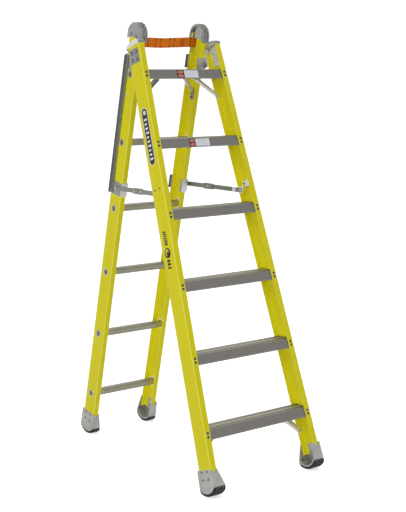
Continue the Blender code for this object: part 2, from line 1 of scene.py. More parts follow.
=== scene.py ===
"""Looks of the multi position ladder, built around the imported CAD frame.

Each section has its own axes, the same as in the CAD source: x across the ladder, d backwards
and s up along its rails. FRONT and REAR turn those into the row frame. Metres throughout.
"""

import json
import math
import random

import bmesh
import bpy
from mathutils import Matrix, Vector


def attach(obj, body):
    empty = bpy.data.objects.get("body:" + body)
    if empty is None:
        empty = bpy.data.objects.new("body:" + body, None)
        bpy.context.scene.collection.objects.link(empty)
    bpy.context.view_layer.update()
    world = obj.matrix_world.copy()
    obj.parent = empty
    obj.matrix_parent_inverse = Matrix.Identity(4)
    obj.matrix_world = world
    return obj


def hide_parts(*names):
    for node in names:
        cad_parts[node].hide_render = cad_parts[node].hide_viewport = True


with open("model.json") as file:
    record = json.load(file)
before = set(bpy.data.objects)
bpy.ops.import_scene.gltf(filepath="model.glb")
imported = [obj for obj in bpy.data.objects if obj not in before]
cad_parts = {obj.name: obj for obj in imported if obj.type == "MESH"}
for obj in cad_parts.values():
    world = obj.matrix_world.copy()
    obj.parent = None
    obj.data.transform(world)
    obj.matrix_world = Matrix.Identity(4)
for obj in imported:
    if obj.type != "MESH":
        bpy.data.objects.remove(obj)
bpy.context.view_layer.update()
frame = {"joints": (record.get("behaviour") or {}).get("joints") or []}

PITCH = 0.3048
STEP_COUNT = 6
SIDES = {"left": -1, "right": 1}
JOINTS = {joint["name"]: joint for joint in frame["joints"]}
SLIDE = JOINTS["rear_slide"]["axis"]
REAR_LEAN = math.atan2(-SLIDE[1], SLIDE[2])
FRONT_LEAN = math.radians(-JOINTS["frame_fold"]["range_deg"][0]) - REAR_LEAN
PIVOT = Vector(JOINTS["frame_fold"]["pos_m"])
FRONT_PIVOT = (0.088, 1.5927)
REAR_PIVOT = (-0.047, 1.5754)
LOWER_GUIDE = 1.0115

FRONT_DEPTH = 0.082
FRONT_FLANGE = 0.030
FRONT_TOP = 1.661
REAR_HALF = 0.040
REAR_FLANGE = 0.0275
REAR_WEB = 0.1833
REAR_TOP = 1.703
WALL = 0.004
GAP = 0.0003
FOOT_RISE = 0.038
SOLE_RADIUS = 0.058
FOOT_WALL = 0.004
FOOT_WIDTHS = {"front": (0.0285, 0.056), "rear": (0.0285, 0.041)}
PAD_RADIUS = 0.0705
SOLE_HEIGHT = 0.0698
FLOOR_GAP = 0.0001
FOOT_HALF = 0.0453
RIVET_INSET = 0.0165
RUNG_BORE = 0.0128

GUIDE_HALF = 0.044
GUIDE_METAL = 0.0028
GUIDE_INNER, GUIDE_OUTER = 0.1860, 0.1888
GUIDE_REACH = 0.0305
HINGE_EAR = (0.1900, 0.1932)
BRACKET_EAR = (0.2001, 0.2031)
BRACKET_PIVOT = (0.040, 1.003)
ARM_PLATES = {"front": (0.1963, 0.1993), "rear": (0.1926, 0.1956)}
ARM_HALF, ARM_TAIL, ARM_LAP = 0.0103, 0.034, 0.0133
FRONT_ARM_REACH = 0.2212
FILM = 0.00012


def section(lean, pivot):
    """Matrix from a section's own axes to the row frame."""
    turn = Matrix.Rotation(-lean, 4, "X")
    return Matrix.Translation(PIVOT) @ turn @ Matrix.Translation((0.0, -pivot[0], -pivot[1]))


FRONT = section(FRONT_LEAN, FRONT_PIVOT)
REAR = section(-REAR_LEAN, REAR_PIVOT)
WORLD = Matrix.Identity(4)


def foot_centre(lean, place, d):
    """Middle of a foot's round sole in its section's axes, at a set height above the floor."""
    return d, (SOLE_HEIGHT - (place @ Vector((0.0, d, 0.0))).z) / math.cos(lean)


FRONT_FOOT = foot_centre(FRONT_LEAN, FRONT, FRONT_DEPTH / 2)
REAR_FOOT = foot_centre(REAR_LEAN, REAR, 0.0)


def front_web(s):
    return 0.2942 - 0.0423 * s


def from_front_web(inward):
    """An x limit that follows a front rail's web, this far in from its outer face."""
    return lambda d, s: front_web(s) - inward


def from_rear_web(inward):
    return lambda d, s: REAR_WEB - inward


# ---------------------------------------------------------------- mesh code

def mesh_from(bm):
    bmesh.ops.recalc_face_normals(bm, faces=bm.faces)
    mesh = bpy.data.meshes.new("piece")
    bm.to_mesh(mesh)
    bm.free()
    return mesh


def loft(loops, ring=False):
    """Skins loops of equal length; the ends are capped, or joined in a ring."""
    bm = bmesh.new()
    rows = [[bm.verts.new(point) for point in loop] for loop in loops]
    pairs = list(zip(rows, rows[1:]))
    if ring:
        pairs.append((rows[-1], rows[0]))
    else:
        bm.faces.new(rows[0][::-1])
        bm.faces.new(rows[-1])
    for low, high in pairs:
        for i in range(len(low)):
            j = (i + 1) % len(low)
            bm.faces.new((low[i], low[j], high[j], high[i]))
    return mesh_from(bm)


def gather(meshes):
    """Several meshes in one, each still its own shell."""
    bm = bmesh.new()
    for mesh in meshes:
        bm.from_mesh(mesh)
    made = bpy.data.meshes.new("group")
    bm.to_mesh(made)
    bm.free()
    return made


def value_at(limit, d, s):
    return limit(d, s) if callable(limit) else limit


def slab(outline, side, x_from, x_to):
    """Solid with a (d, s) outline between two x limits, each a number or a function."""
    return loft([[(side * value_at(x, d, s), d, s) for d, s in outline] for x in (x_from, x_to)])


def plate_facing_back(outline, d_from, d_to):
    """Solid with an (x, s) outline between two depths."""
    return loft([[(x, d, s) for x, s in outline] for d in (d_from, d_to)])


def column(outline, stations, x_shift=lambda s: 0.0):
    """Solid with an (x, d) outline swept up through the stations."""
    return loft([[(x + x_shift(s), d, s) for x, d in outline] for s in stations])


def arc(centre, radius, start, end, count):
    points = []
    for i in range(count + 1):
        angle = math.radians(start + (end - start) * i / count)
        points.append((centre[0] + radius * math.cos(angle), centre[1] + radius * math.sin(angle)))
    return points


def rounded(corners, steps=4):
    """Closed outline from (a, b, radius) corners, each rounded by its own radius."""
    points = []
    for i, (a, b, radius) in enumerate(corners):
        if radius <= 0:
            points.append((a, b))
            continue
        corner = Vector((a, b))
        u = (Vector(corners[i - 1][:2]) - corner).normalized()
        v = (Vector(corners[(i + 1) % len(corners)][:2]) - corner).normalized()
        half = math.acos(max(-1.0, min(1.0, u.dot(v)))) / 2
        centre = corner + (u + v).normalized() * (radius / math.sin(half))
        first = corner + u * (radius / math.tan(half)) - centre
        last = corner + v * (radius / math.tan(half)) - centre
        start = math.atan2(first.y, first.x)
        turn = (math.atan2(last.y, last.x) - start + math.pi) % (2 * math.pi) - math.pi
        for k in range(steps + 1):
            angle = start + turn * k / steps
            points.append((centre.x + radius * math.cos(angle), centre.y + radius * math.sin(angle)))
    return points


def box(a_from, a_to, b_from, b_to, radius, steps=4):
    """Closed outline of a rectangle with rounded corners."""
    return rounded([(a_from, b_from, radius), (a_to, b_from, radius), (a_to, b_to, radius),
                    (a_from, b_to, radius)], steps)


def round_piece(axis, centre, profile, count=24):
    """Turned piece about an axis of the section, 0 for x and 1 for d; profile is (offset, radius)."""
    loops = []
    for offset, radius in profile:
        loop = []
        for i in range(count):
            angle = 2 * math.pi * (i + 0.5) / count
            across, up = radius * math.cos(angle), radius * math.sin(angle)
            if axis == 0:
                loop.append((centre[0] + offset, centre[1] + across, centre[2] + up))
            else:
                loop.append((centre[0] + across, centre[1] + offset, centre[2] + up))
        loops.append(loop)
    return loft(loops)


def turned_pin(side, pivot, profile, count=28):
    """Turned pin across the ladder, from an (x, radius) profile."""
    return round_piece(0, (0.0, *pivot), [(side * x, r) for x, r in profile], count)


def rivet(axis, centre, out, radius=0.005, height=0.0026, hollow=False):
    """Dome-headed rivet standing out along +axis or -axis; a hollow one shows its broken stem."""
    profile = [(-0.0012, radius), (0.0, radius), (height * 0.45, radius * 0.96),
               (height * 0.8, radius * 0.78), (height, radius * 0.5)]
    if hollow:
        profile += [(height * 0.9, radius * 0.42), (height * 0.25, radius * 0.36)]
    else:
        profile += [(height * 1.04, radius * 0.2)]
    return round_piece(axis, centre, [(out * offset, r) for offset, r in profile], 20)


def bolt_head(axis, centre, out, across=0.011, height=0.005):
    """Hexagon head on a washer."""
    washer = [(0.0, across * 0.78), (0.001, across * 0.78), (0.0014, across * 0.72)]
    head = [(0.0014, across * 0.56), (0.0014 + height * 0.85, across * 0.56),
            (0.0014 + height, across * 0.47)]
    return gather([round_piece(axis, centre, [(out * o, r) for o, r in washer], 24),
                   round_piece(axis, centre, [(out * o, r) for o, r in head], 6)])


def evaluated(mesh, add_modifiers):
    """Mesh of a holder object once its modifiers are applied."""
    holder = bpy.data.objects.new("holder", mesh)
    bpy.context.scene.collection.objects.link(holder)
    tools = add_modifiers(holder)
    bpy.context.view_layer.update()
    shape = holder.evaluated_get(bpy.context.evaluated_depsgraph_get())
    result = bpy.data.meshes.new_from_object(shape)
    for used in [holder] + tools:
        bpy.data.objects.remove(used, do_unlink=True)
    return result


def combine(base, others, operation):
    def add(holder):
        tools = []
        for other in others:
            tool = bpy.data.objects.new("tool", other)
            bpy.context.scene.collection.objects.link(tool)
            step = holder.modifiers.new("combine", "BOOLEAN")
            step.operation = operation
            step.object = tool
            tools.append(tool)
        return tools
    return evaluated(base, add)


def softened(mesh, width, segments=2, angle=45):
    """The mesh with its sharp edges rounded off."""
    def add(holder):
        edge = holder.modifiers.new("edge", "BEVEL")
        edge.width = width
        edge.segments = segments
        edge.limit_method = "ANGLE"
        edge.angle_limit = math.radians(angle)
        return []
    return evaluated(mesh, add)


def piece(name, mesh, surface, body, place, slot, stands_for=(), angle=32, trim=None):
    """Adds a finished piece in the row frame and lets it ride on a CAD body.

    A trim is a second surface and a test on face centres that picks the faces it covers.
    """
    mesh.materials.clear()
    mesh.materials.append(surface)
    for polygon in mesh.polygons:
        polygon.material_index = 0
    if trim:
        mesh.materials.append(trim[0])
        for polygon in mesh.polygons:
            if trim[1](polygon.center):
                polygon.material_index = 1
    mesh.transform(place)
    mesh.shade_smooth()
    mesh.set_sharp_from_angle(angle=math.radians(angle))
    obj = bpy.data.objects.new(name, mesh)
    bpy.context.scene.collection.objects.link(obj)
    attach(obj, body)
    if stands_for:
        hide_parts(*stands_for)
    return obj


def adder(body, place):
    """A version of piece for one body and its section's axes."""
    def add(name, mesh, surface, *rest, **named):
        return piece(name, mesh, surface, body, place, *rest, **named)
    return add


on_front = adder("front_section", FRONT)
on_rear = adder("rear_section", REAR)
on_guides = adder("guide_frame", REAR)


# ---------------------------------------------------------------- materials

class Nodes:
    """Small helper to lay out a material's nodes."""

    def __init__(self, name):
        self.material = bpy.data.materials.new(name)
        self.material.use_nodes = True
        self.tree = self.material.node_tree
        self.shader = self.tree.nodes["Principled BSDF"]

    def feed(self, socket, value):
        """Links an output to a socket, or sets the socket's own value."""
        if hasattr(value, "links"):
            self.tree.links.new(value, socket)
        else:
            socket.default_value = value

    def node(self, kind, output, inputs=(), **settings):
        """Adds a node, feeds its (name, value) inputs and gives one of its outputs."""
        node = self.tree.nodes.new(kind)
        for key, value in settings.items():
            setattr(node, key, value)
        for key, value in inputs:
            self.feed(node.inputs[key], value)
        return node.outputs[output]

    def place(self, lean=0.0, scale=(1.0, 1.0, 1.0)):
        """Object coordinates turned into a section's axes and stretched."""
        own = self.node("ShaderNodeTexCoord", "Object")
        turned = self.node("ShaderNodeMapping", "Vector", (("Vector", own), ("Rotation", (-lean, 0.0, 0.0))),
                           vector_type="TEXTURE")
        return self.node("ShaderNodeMapping", "Vector", (("Vector", turned), ("Scale", scale)),
                         vector_type="POINT")

    def noise(self, vector, scale, detail=5.0, roughness=0.55):
        return self.node("ShaderNodeTexNoise", "Fac", (("Vector", vector), ("Scale", scale),
                                                       ("Detail", detail), ("Roughness", roughness)))

    def ramp(self, value, stops):
        node = self.tree.nodes.new("ShaderNodeValToRGB")
        for element, (position, colour) in zip(node.color_ramp.elements, stops):
            element.position = position
            element.color = colour
        self.feed(node.inputs["Fac"], value)
        return node.outputs["Color"]

    def mix(self, factor, first, second, blend="MIX"):
        return self.node("ShaderNodeMix", 2, ((0, factor), (6, first), (7, second)), data_type="RGBA",
                         blend_type=blend)

    def spread(self, value, low, high):
        """A value from 0 to 1 spread from low to high."""
        return self.node("ShaderNodeMapRange", "Result", (("Value", value), ("To Min", low),
                                                          ("To Max", high)))

    def level(self, value, low, high):
        """0 to 1 as a value goes from low to high."""
        return self.node("ShaderNodeMapRange", "Result", (("Value", value), ("From Min", low),
                                                          ("From Max", high)))

    def bump(self, height, strength, distance, under=None):
        inputs = [("Strength", strength), ("Distance", distance), ("Height", height)]
        if under is not None:
            inputs.append(("Normal", under))
        return self.node("ShaderNodeBump", "Normal", inputs)

    def dot(self, first, second):
        return self.node("ShaderNodeVectorMath", "Value", ((0, first), (1, second)),
                         operation="DOT_PRODUCT")

    def turned_to(self, axis, either_way=True):
        """How squarely the surface faces along an axis of the object."""
        value = self.dot(self.node("ShaderNodeTexCoord", "Normal"), axis)
        return self.node("ShaderNodeMath", 0, ((0, value),), operation="ABSOLUTE") if either_way else value

    def corner(self, lean, low, high):
        """1 where the surface turns between a section's x and d directions, as on a rail's corners."""
        across, deep = self.turned_to((1.0, 0.0, 0.0)), self.turned_to((0.0, math.cos(lean), -math.sin(lean)))
        return self.level(self.node("ShaderNodeMath", 0, ((0, across), (1, deep)), operation="MULTIPLY"),
                          low, high)

    def facing(self, axis, low, high):
        """1 where the surface faces along an axis of the object, either way for the x axis."""
        return self.level(self.turned_to(axis, bool(axis[0])), low, high)

    def attribute(self, name):
        return self.node("ShaderNodeAttribute", "Fac", attribute_name=name)

    def hollow(self, reach):
        """1 deep inside a channel or corner, 0 on open faces."""
        return self.level(self.node("ShaderNodeAmbientOcclusion", "AO", (("Distance", reach),), samples=6),
                          0.95, 0.35)

    def edge_wear_and_highlight(self, radius):
        """1 along convex edges and 0 elsewhere."""
        rounded_off = self.node("ShaderNodeBevel", "Normal", (("Radius", radius),), samples=4)
        return self.level(self.dot(rounded_off, self.node("ShaderNodeNewGeometry", "Normal")), 0.995, 0.90)

    def finish(self, colour, roughness, metallic=0.0, normal=None, sheen=0.0, gloss=0.5):
        inputs = {"Base Color": colour, "Roughness": roughness, "Metallic": metallic, "Sheen Weight": sheen,
                  "Specular IOR Level": gloss}
        if normal is not None:
            inputs["Normal"] = normal
        for name, value in inputs.items():
            self.feed(self.shader.inputs[name], value)
        return self.material


def scaled(tone, factor, lift=0.0):
    return (*(min(1.0, c * factor + lift) for c in tone[:3]), 1.0)


def fibreglass(name, lean):
    """Pultruded yellow resin: long faint fibres, soft mottling, painted highlights on corners and edges,
    painted light in hollows.
    """
    n = Nodes(name)
    fibres = n.noise(n.place(lean, (260.0, 260.0, 3.0)), 1.0, 4.0, 0.6)
    mottle = n.noise(n.place(lean, (9.0, 9.0, 2.2)), 1.0, 3.0)
    grain = n.noise(n.place(lean, (900.0, 900.0, 60.0)), 1.0, 2.0)
    colour = n.ramp(mottle, [(0.25, (0.418, 0.383, 0.0015, 1)), (0.75, (0.454, 0.417, 0.0025, 1))])
    streak = n.ramp(fibres, [(0.30, (0.90, 0.89, 0.86, 1)), (0.70, (1.0, 1.0, 1.0, 1))])
    colour = n.mix(0.5, colour, streak, "MULTIPLY")
    # painted highlight: paler yellow where the surface turns round the rails' outer corners
    corner = n.corner(lean, 0.26, 0.47)
    colour = n.mix(n.spread(corner, 0.0, 0.50), colour, (0.62, 0.57, 0.16, 1))
    # painted highlight along the sharp edges of the rails
    colour = n.mix(n.spread(n.edge_wear_and_highlight(0.0012), 0.0, 0.35), colour, (0.62, 0.57, 0.16, 1))
    # painted light: brighter yellow deep in the channels, standing in for light bounced round inside them
    colour = n.mix(n.spread(n.hollow(0.09), 0.0, 1.0), colour, (0.84, 0.77, 0.014, 1))
    rough = n.spread(fibres, 0.36, 0.50)
    normal = n.bump(fibres, 0.25, 0.00025)
    normal = n.bump(grain, 0.12, 0.0001, normal)
    return n.finish(colour, rough, 0.0, normal, gloss=0.10)


def brushed(name, tone, lean, along, metallic=0.85, roughness=0.42, wear_tone=None, spots=0.0,
            tread_highlight_tone=None, side_shade_tone=None, painted_hollow_light=None):
    """Drawn or rolled metal with fine scratches along one axis.

    A tread takes a painted highlight by its own per-point value, a plate takes painted shade on its side
    faces, and metal deep in a channel takes painted light, yellow where it stands for light off the rails.
    """
    n = Nodes(name)
    fine = [1400.0, 1400.0, 1400.0]
    fine[along] = 14.0
    broad = [90.0, 90.0, 90.0]
    broad[along] = 2.5
    lines = n.noise(n.place(lean, fine), 1.0, 3.0)
    bands = n.noise(n.place(lean, broad), 1.0, 4.0)
    cloud = n.noise(n.place(lean), 22.0, 5.0)
    colour = n.ramp(lines, [(0.25, scaled(tone, 0.82)), (0.75, scaled(tone, 1.14))])
    shade = n.ramp(bands, [(0.3, (0.86, 0.86, 0.87, 1)), (0.7, (1, 1, 1, 1))])
    colour = n.mix(0.5, colour, shade, "MULTIPLY")
    if spots:
        colour = n.mix(n.spread(cloud, 0.0, spots), colour, scaled(tone, 0.55))
    if wear_tone is not None:
        colour = n.mix(n.spread(n.edge_wear_and_highlight(0.0009), 0.0, 0.7), colour, wear_tone)
    # painted highlight on a tread's nose and ribs, from its per-point value
    if tread_highlight_tone is not None:
        colour = n.mix(n.attribute("painted_highlight"), colour, tread_highlight_tone)
    # painted light deep in channels and corners
    if painted_hollow_light is not None:
        colour = n.mix(n.hollow(0.06), colour, painted_hollow_light)
    # painted shade: faces turned across the ladder take a much darker tone
    if side_shade_tone is not None:
        colour = n.mix(n.spread(n.facing((1.0, 0.0, 0.0), 0.6, 0.9), 0.0, 0.9), colour, side_shade_tone)
    rough = n.spread(lines, roughness - 0.07, roughness + 0.09)
    normal = n.bump(lines, 0.18, 0.00012)
    normal = n.bump(cloud, 0.06, 0.0006, normal)
    return n.finish(colour, rough, metallic, normal)


def cast_metal(name, tone, metallic=0.45, roughness=0.5, scale=420.0, wear_tone=None, front_tone=None):
    """Blasted casting: fine pits, clouded tone, lighter rubbed edges and perhaps painted shade on its front
    faces.
    """
    n = Nodes(name)
    pits = n.noise(n.place(), scale, 4.0, 0.6)
    cloud = n.noise(n.place(), 26.0, 4.0)
    colour = n.ramp(cloud, [(0.3, scaled(tone, 0.80)), (0.7, scaled(tone, 1.12))])
    shade = n.ramp(pits, [(0.35, (0.8, 0.8, 0.8, 1)), (0.6, (1, 1, 1, 1))])
    colour = n.mix(0.35, colour, shade, "MULTIPLY")
    # painted shade: faces turned to the front take a much darker tone
    if front_tone is not None:
        colour = n.mix(n.spread(n.facing((0.0, -1.0, 0.0), 0.25, 0.60), 0.0, 0.95), colour, front_tone)
    if wear_tone is not None:
        colour = n.mix(n.spread(n.edge_wear_and_highlight(0.0012), 0.0, 0.75), colour, wear_tone)
    normal = n.bump(pits, 0.22, 0.0003)
    return n.finish(colour, n.spread(cloud, roughness - 0.06, roughness + 0.08), metallic, normal)


def moulded(name, tone, roughness=0.55, scale=600.0, worn=None, sheen=0.0, groove_highlight_tone=None, gloss=0.5):
    """Rubber or plastic with a leathery mould grain, rubbed edges and perhaps a painted highlight in its
    grooves.
    """
    n = Nodes(name)
    grain = n.noise(n.place(), scale, 3.0)
    cloud = n.noise(n.place(), 30.0, 4.0)
    colour = n.ramp(cloud, [(0.3, scaled(tone, 0.78)), (0.7, scaled(tone, 1.2, 0.004))])
    if worn is not None:
        colour = n.mix(n.spread(n.edge_wear_and_highlight(0.0014), 0.0, 0.6), colour, worn)
    # painted highlight in the grooves, from the per-point value
    if groove_highlight_tone is not None:
        colour = n.mix(n.attribute("painted_highlight"), colour, groove_highlight_tone)
    rough = n.spread(grain, roughness - 0.08, roughness + 0.1)
    return n.finish(colour, rough, 0.0, n.bump(grain, 0.3, 0.0002), sheen, gloss)


def webbing(name, tone, thread):
    """Plain woven polyester: ribs across the strap, crossed by finer lengthways yarns."""
    n = Nodes(name)
    heights = []
    for axis, scale in (("X", 190.0), ("Z", 260.0)):
        inputs = (("Vector", n.place(-REAR_LEAN)), ("Scale", scale), ("Distortion", 0.6))
        heights.append(n.node("ShaderNodeTexWave", "Fac", inputs, bands_direction=axis, wave_profile="SIN"))
    weave = n.mix(0.5, heights[0], heights[1], "MULTIPLY")
    fuzz = n.noise(n.place(-REAR_LEAN, (900.0, 900.0, 400.0)), 1.0, 3.0)
    cloud = n.noise(n.place(-REAR_LEAN, (14.0, 14.0, 40.0)), 1.0, 4.0)
    colour = n.ramp(cloud, [(0.3, tone), (0.7, scaled(tone, 1.16))])
    colour = n.mix(0.45, colour, n.ramp(weave, [(0.0, thread), (0.55, (1, 1, 1, 1))]), "MULTIPLY")
    normal = n.bump(weave, 0.6, 0.0005)
    normal = n.bump(fuzz, 0.2, 0.0002, normal)
    return n.finish(colour, 0.8, 0.0, normal, 0.02, 0.15)


def printed(name, tone, roughness=0.35):
    """Printed vinyl film with slight scuffs."""
    n = Nodes(name)
    scuff = n.noise(n.place(), 180.0, 6.0, 0.7)
    colour = n.ramp(scuff, [(0.35, scaled(tone, 0.86)), (0.6, tone)])
    rough = n.spread(scuff, roughness - 0.08, roughness + 0.15)
    return n.finish(colour, rough, 0.0, n.bump(scuff, 0.08, 0.0001), gloss=0.2)


YELLOW_FRONT = fibreglass("fibreglass_front", FRONT_LEAN)
YELLOW_REAR = fibreglass("fibreglass_rear", -REAR_LEAN)
# step treads take a pale, yellowish painted highlight on the nose, centre rib and serrations
STEP_METAL = brushed("step_extrusion", (0.150, 0.143, 0.130, 1), FRONT_LEAN, 0, 0.6, 0.44,
                     (0.42, 0.41, 0.33, 1), tread_highlight_tone=(0.56, 0.54, 0.36, 1))
# rung ends inside the rails take a yellowish painted light, standing in for light bounced off the channel
RUNG_METAL = brushed("rung_extrusion", (0.225, 0.215, 0.165, 1), -REAR_LEAN, 0, 0.65, 0.42,
                     painted_hollow_light=(0.50, 0.46, 0.17, 1))
# brackets and struts take painted light where they sit in hollows
BRIGHT_FRONT = brushed("zinc_plate_front", (0.56, 0.55, 0.52, 1), FRONT_LEAN, 2, 0.35, 0.38,
                       (0.75, 0.75, 0.74, 1), 0.25, painted_hollow_light=(0.88, 0.87, 0.80, 1))
# the rear guides take painted shade on their faces turned across the ladder
BRIGHT_REAR = brushed("zinc_plate_rear", (0.50, 0.495, 0.475, 1), -REAR_LEAN, 2, 0.35, 0.36,
                      (0.78, 0.78, 0.76, 1), 0.3, side_shade_tone=(0.16, 0.165, 0.155, 1))
# a dark copy of the zinc plate: painted shade for the guides' hooked lips
LIP_SHADE_METAL = brushed("zinc_lip_shaded", (0.15, 0.155, 0.155, 1), -REAR_LEAN, 2, 0.35, 0.40, (0.30, 0.30, 0.30, 1),
                    0.3)
DARK_FRONT = brushed("grey_plate_front", (0.212, 0.217, 0.222, 1), FRONT_LEAN, 2, 0.5, 0.45,
                     (0.34, 0.35, 0.35, 1), 0.25)
LINK_METAL = brushed("grey_angle", (0.145, 0.155, 0.140, 1), -REAR_LEAN, 2, 0.45, 0.44,
                     (0.36, 0.37, 0.35, 1), 0.25)
ARM_METAL = brushed("spreader_plate", (0.165, 0.17, 0.145, 1), 0.0, 1, 0.45, 0.38,
                    (0.50, 0.50, 0.46, 1), 0.3)
BOOT_METAL = cast_metal("boot_casting", (0.285, 0.285, 0.270, 1), 0.2, 0.48, 420.0, (0.50, 0.50, 0.48, 1))
BOOT_RIM = cast_metal("boot_rim", (0.34, 0.34, 0.32, 1), 0.2, 0.42, 420.0, (0.56, 0.56, 0.54, 1))
# the hinge caps take painted shade on their front faces
CAP_METAL = cast_metal("hinge_cap", (0.53, 0.53, 0.52, 1), 0.35, 0.24, 260.0, (0.70, 0.70, 0.70, 1),
                       (0.15, 0.155, 0.155, 1))
# much paler than the cap casting: a painted highlight standing for the light the tab's curved top catches
TAB_HIGHLIGHT_METAL = cast_metal("hinge_tab", (0.78, 0.78, 0.78, 1), 0.3, 0.24, 260.0, (0.80, 0.80, 0.80, 1))
RING_METAL = cast_metal("plated_ring", (0.37, 0.37, 0.38, 1), 0.7, 0.24, 300.0, (0.7, 0.7, 0.7, 1))
COLLAR_METAL = cast_metal("plated_collar", (0.80, 0.80, 0.80, 1), 0.3, 0.26, 300.0, (0.9, 0.9, 0.9, 1))
RIVET_BLUE = cast_metal("plated_rivet", (0.050, 0.053, 0.080, 1), 0.6, 0.26, 500.0, (0.20, 0.21, 0.27, 1))
CLIP_METAL = brushed("step_clip_plate", (0.105, 0.110, 0.135, 1), FRONT_LEAN, 0, 0.5, 0.42,
                     (0.26, 0.27, 0.30, 1), 0.3)
RIVET_GREY = cast_metal("steel_rivet", (0.42, 0.42, 0.42, 1), 0.7, 0.28, 500.0, (0.65, 0.65, 0.65, 1))
RIVET_STEEL = cast_metal("worn_rivet", (0.20, 0.205, 0.20, 1), 0.5, 0.36, 500.0, (0.45, 0.45, 0.44, 1))
RIVET_DARK = cast_metal("dark_rivet", (0.035, 0.038, 0.034, 1), 0.5, 0.4, 500.0, (0.15, 0.15, 0.15, 1))
SLOT_DARK = moulded("slot_shadow", (0.015, 0.016, 0.015, 1), 0.7, 500.0)
# the sole grooves take a painted highlight, standing for light caught by the blocks' edges
RUBBER = moulded("sole_rubber", (0.008, 0.008, 0.010, 1), 0.5, 500.0, groove_highlight_tone=(0.24, 0.24, 0.235, 1),
                 gloss=0.2)
GUARD = moulded("guard_plastic", (0.190, 0.195, 0.188, 1), 0.5, 700.0, (0.34, 0.34, 0.33, 1))
GUARD_LINER = moulded("guard_liner", (0.40, 0.405, 0.395, 1), 0.5, 700.0, (0.40, 0.40, 0.39, 1))
STRAP = webbing("orange_weave", (0.57, 0.138, 0.003, 1), (0.66, 0.50, 0.38, 1))
STRAP_EDGE = webbing("orange_edge", (0.46, 0.085, 0.003, 1), (0.60, 0.42, 0.30, 1))
THREAD = moulded("black_thread", (0.008, 0.008, 0.010, 1), 0.7, 900.0, None, 0.1)
WHITE_FILM = printed("white_film", (0.52, 0.52, 0.54, 1))
BLACK_FILM = printed("black_film", (0.014, 0.014, 0.016, 1))
RED_FILM = printed("red_film", (0.40, 0.115, 0.085, 1))
GREY_FILM = printed("grey_film", (0.33, 0.34, 0.38, 1))


# ---------------------------------------------------------------- rails

def channel(side, web, flange, d_low, d_high):
    """C section with round outer corners, fillets inside and rounded flange tips."""
    tip, inner = web - flange, web - WALL
    corners = [(tip, d_low, 0.0018), (web, d_low, 0.0055), (web, d_high, 0.0055), (tip, d_high, 0.0018),
               (tip, d_high - WALL, 0.0018), (inner, d_high - WALL, 0.0035),
               (inner, d_low + WALL, 0.0035), (tip, d_low + WALL, 0.0018)]
    return [(side * x, d) for x, d in rounded(corners, 5)]


def build_rails():
    for name, side in SIDES.items():
        outline = channel(side, 0.0, FRONT_FLANGE, 0.0, FRONT_DEPTH)
        mesh = column(outline, (FRONT_FOOT[1] - 0.012, FRONT_TOP), lambda s, side=side: side * front_web(s))
        on_front(f"rail_front_{name}", mesh, YELLOW_FRONT, "rail_yellow", [f"front_rail_{name}"], 20)
        outline = channel(side, REAR_WEB, REAR_FLANGE, -REAR_HALF, REAR_HALF)
        mesh = column(outline, (REAR_FOOT[1] - 0.012, REAR_TOP))
        bore = [(-0.02, RUNG_BORE), (0.02, RUNG_BORE)]
        bores = [round_piece(0, (side * REAR_WEB, 0.0, k * PITCH), bore, 32) for k in range(STEP_COUNT)]
        on_rear(f"rail_rear_{name}", combine(mesh, bores, "DIFFERENCE"), YELLOW_REAR, "rail_yellow",
                [f"rear_rail_{name}"], 20)


# ---------------------------------------------------------------- steps

def tread_highlight(u):
    """How much painted highlight the tread takes, u back from its front edge: nose, centre rib and back ribs.
    """
    if u < 0.0040:
        return 0.14
    if u < 0.0320:
        return 0.05
    if u < 0.0395:
        return 0.72
    return 0.26 if int((u - 0.0395) / 0.0050) % 2 else 0.02


def step_outline(k):
    """Section of a step in (d, s, painted highlight): grooved level tread, rounded nose, skirt and back lip.
    """
    base = k * PITCH
    front, back, metal = WALL + GAP, 0.0744, 0.003
    slope = math.tan(FRONT_LEAN)
    nose = base + 0.0195
    length = (back - front) / math.cos(FRONT_LEAN)
    top = nose + length * math.sin(FRONT_LEAN)

    def tread(u, drop=0.0):
        """Point on the tread, u back from its front edge and drop below it."""
        d = front + u * math.cos(FRONT_LEAN) + drop * math.sin(FRONT_LEAN)
        s = nose + u * math.sin(FRONT_LEAN) - drop * math.cos(FRONT_LEAN)
        # serration floors take a little less painted highlight than the crests
        return d, s, tread_highlight(u) - (0.05 if drop > 0 else 0.0)

    # the last two nose points carry a faint painted highlight
    points = [(front, base - 0.021, 0.0), (front, base - 0.0184, 0.0), (front + 0.0006, base - 0.0180, 0.0),
              (front + 0.0006, base - 0.0168, 0.0), (front, base - 0.0164, 0.0),
              (front, nose - 0.0035, 0.0), (front + 0.0004, nose - 0.0016, 0.08),
              (front + 0.0014, nose - 0.0002, 0.16)]
    for start, end in ((0.0045, 0.0305), (0.0400, length - 0.003)):
        u = start
        while u + 0.0034 <= end:
            points += [tread(u), tread(u + 0.0007, 0.0007), tread(u + 0.0016, 0.0007), tread(u + 0.0023)]
            u += 0.0036
        if start < 0.03:
            points += [tread(0.0318), tread(0.0330, -0.0012), tread(0.0382, -0.0012), tread(0.0396)]
    points += [tread(length - 0.0018), tread(length - 0.0004, 0.0008), (back, top - 0.003, 0.0)]
    under = metal / math.cos(FRONT_LEAN)
    inner_front, inner_back = front + metal, back - metal
    points += [(back, base + 0.002, 0.0), (inner_back, base + 0.002, 0.0),
               (inner_back, nose + (inner_back - front) * slope - under - 0.0008, 0.0),
               (inner_front, nose + (inner_front - front) * slope - under - 0.0008, 0.0),
               (inner_front, base - 0.021, 0.0)]
    return points


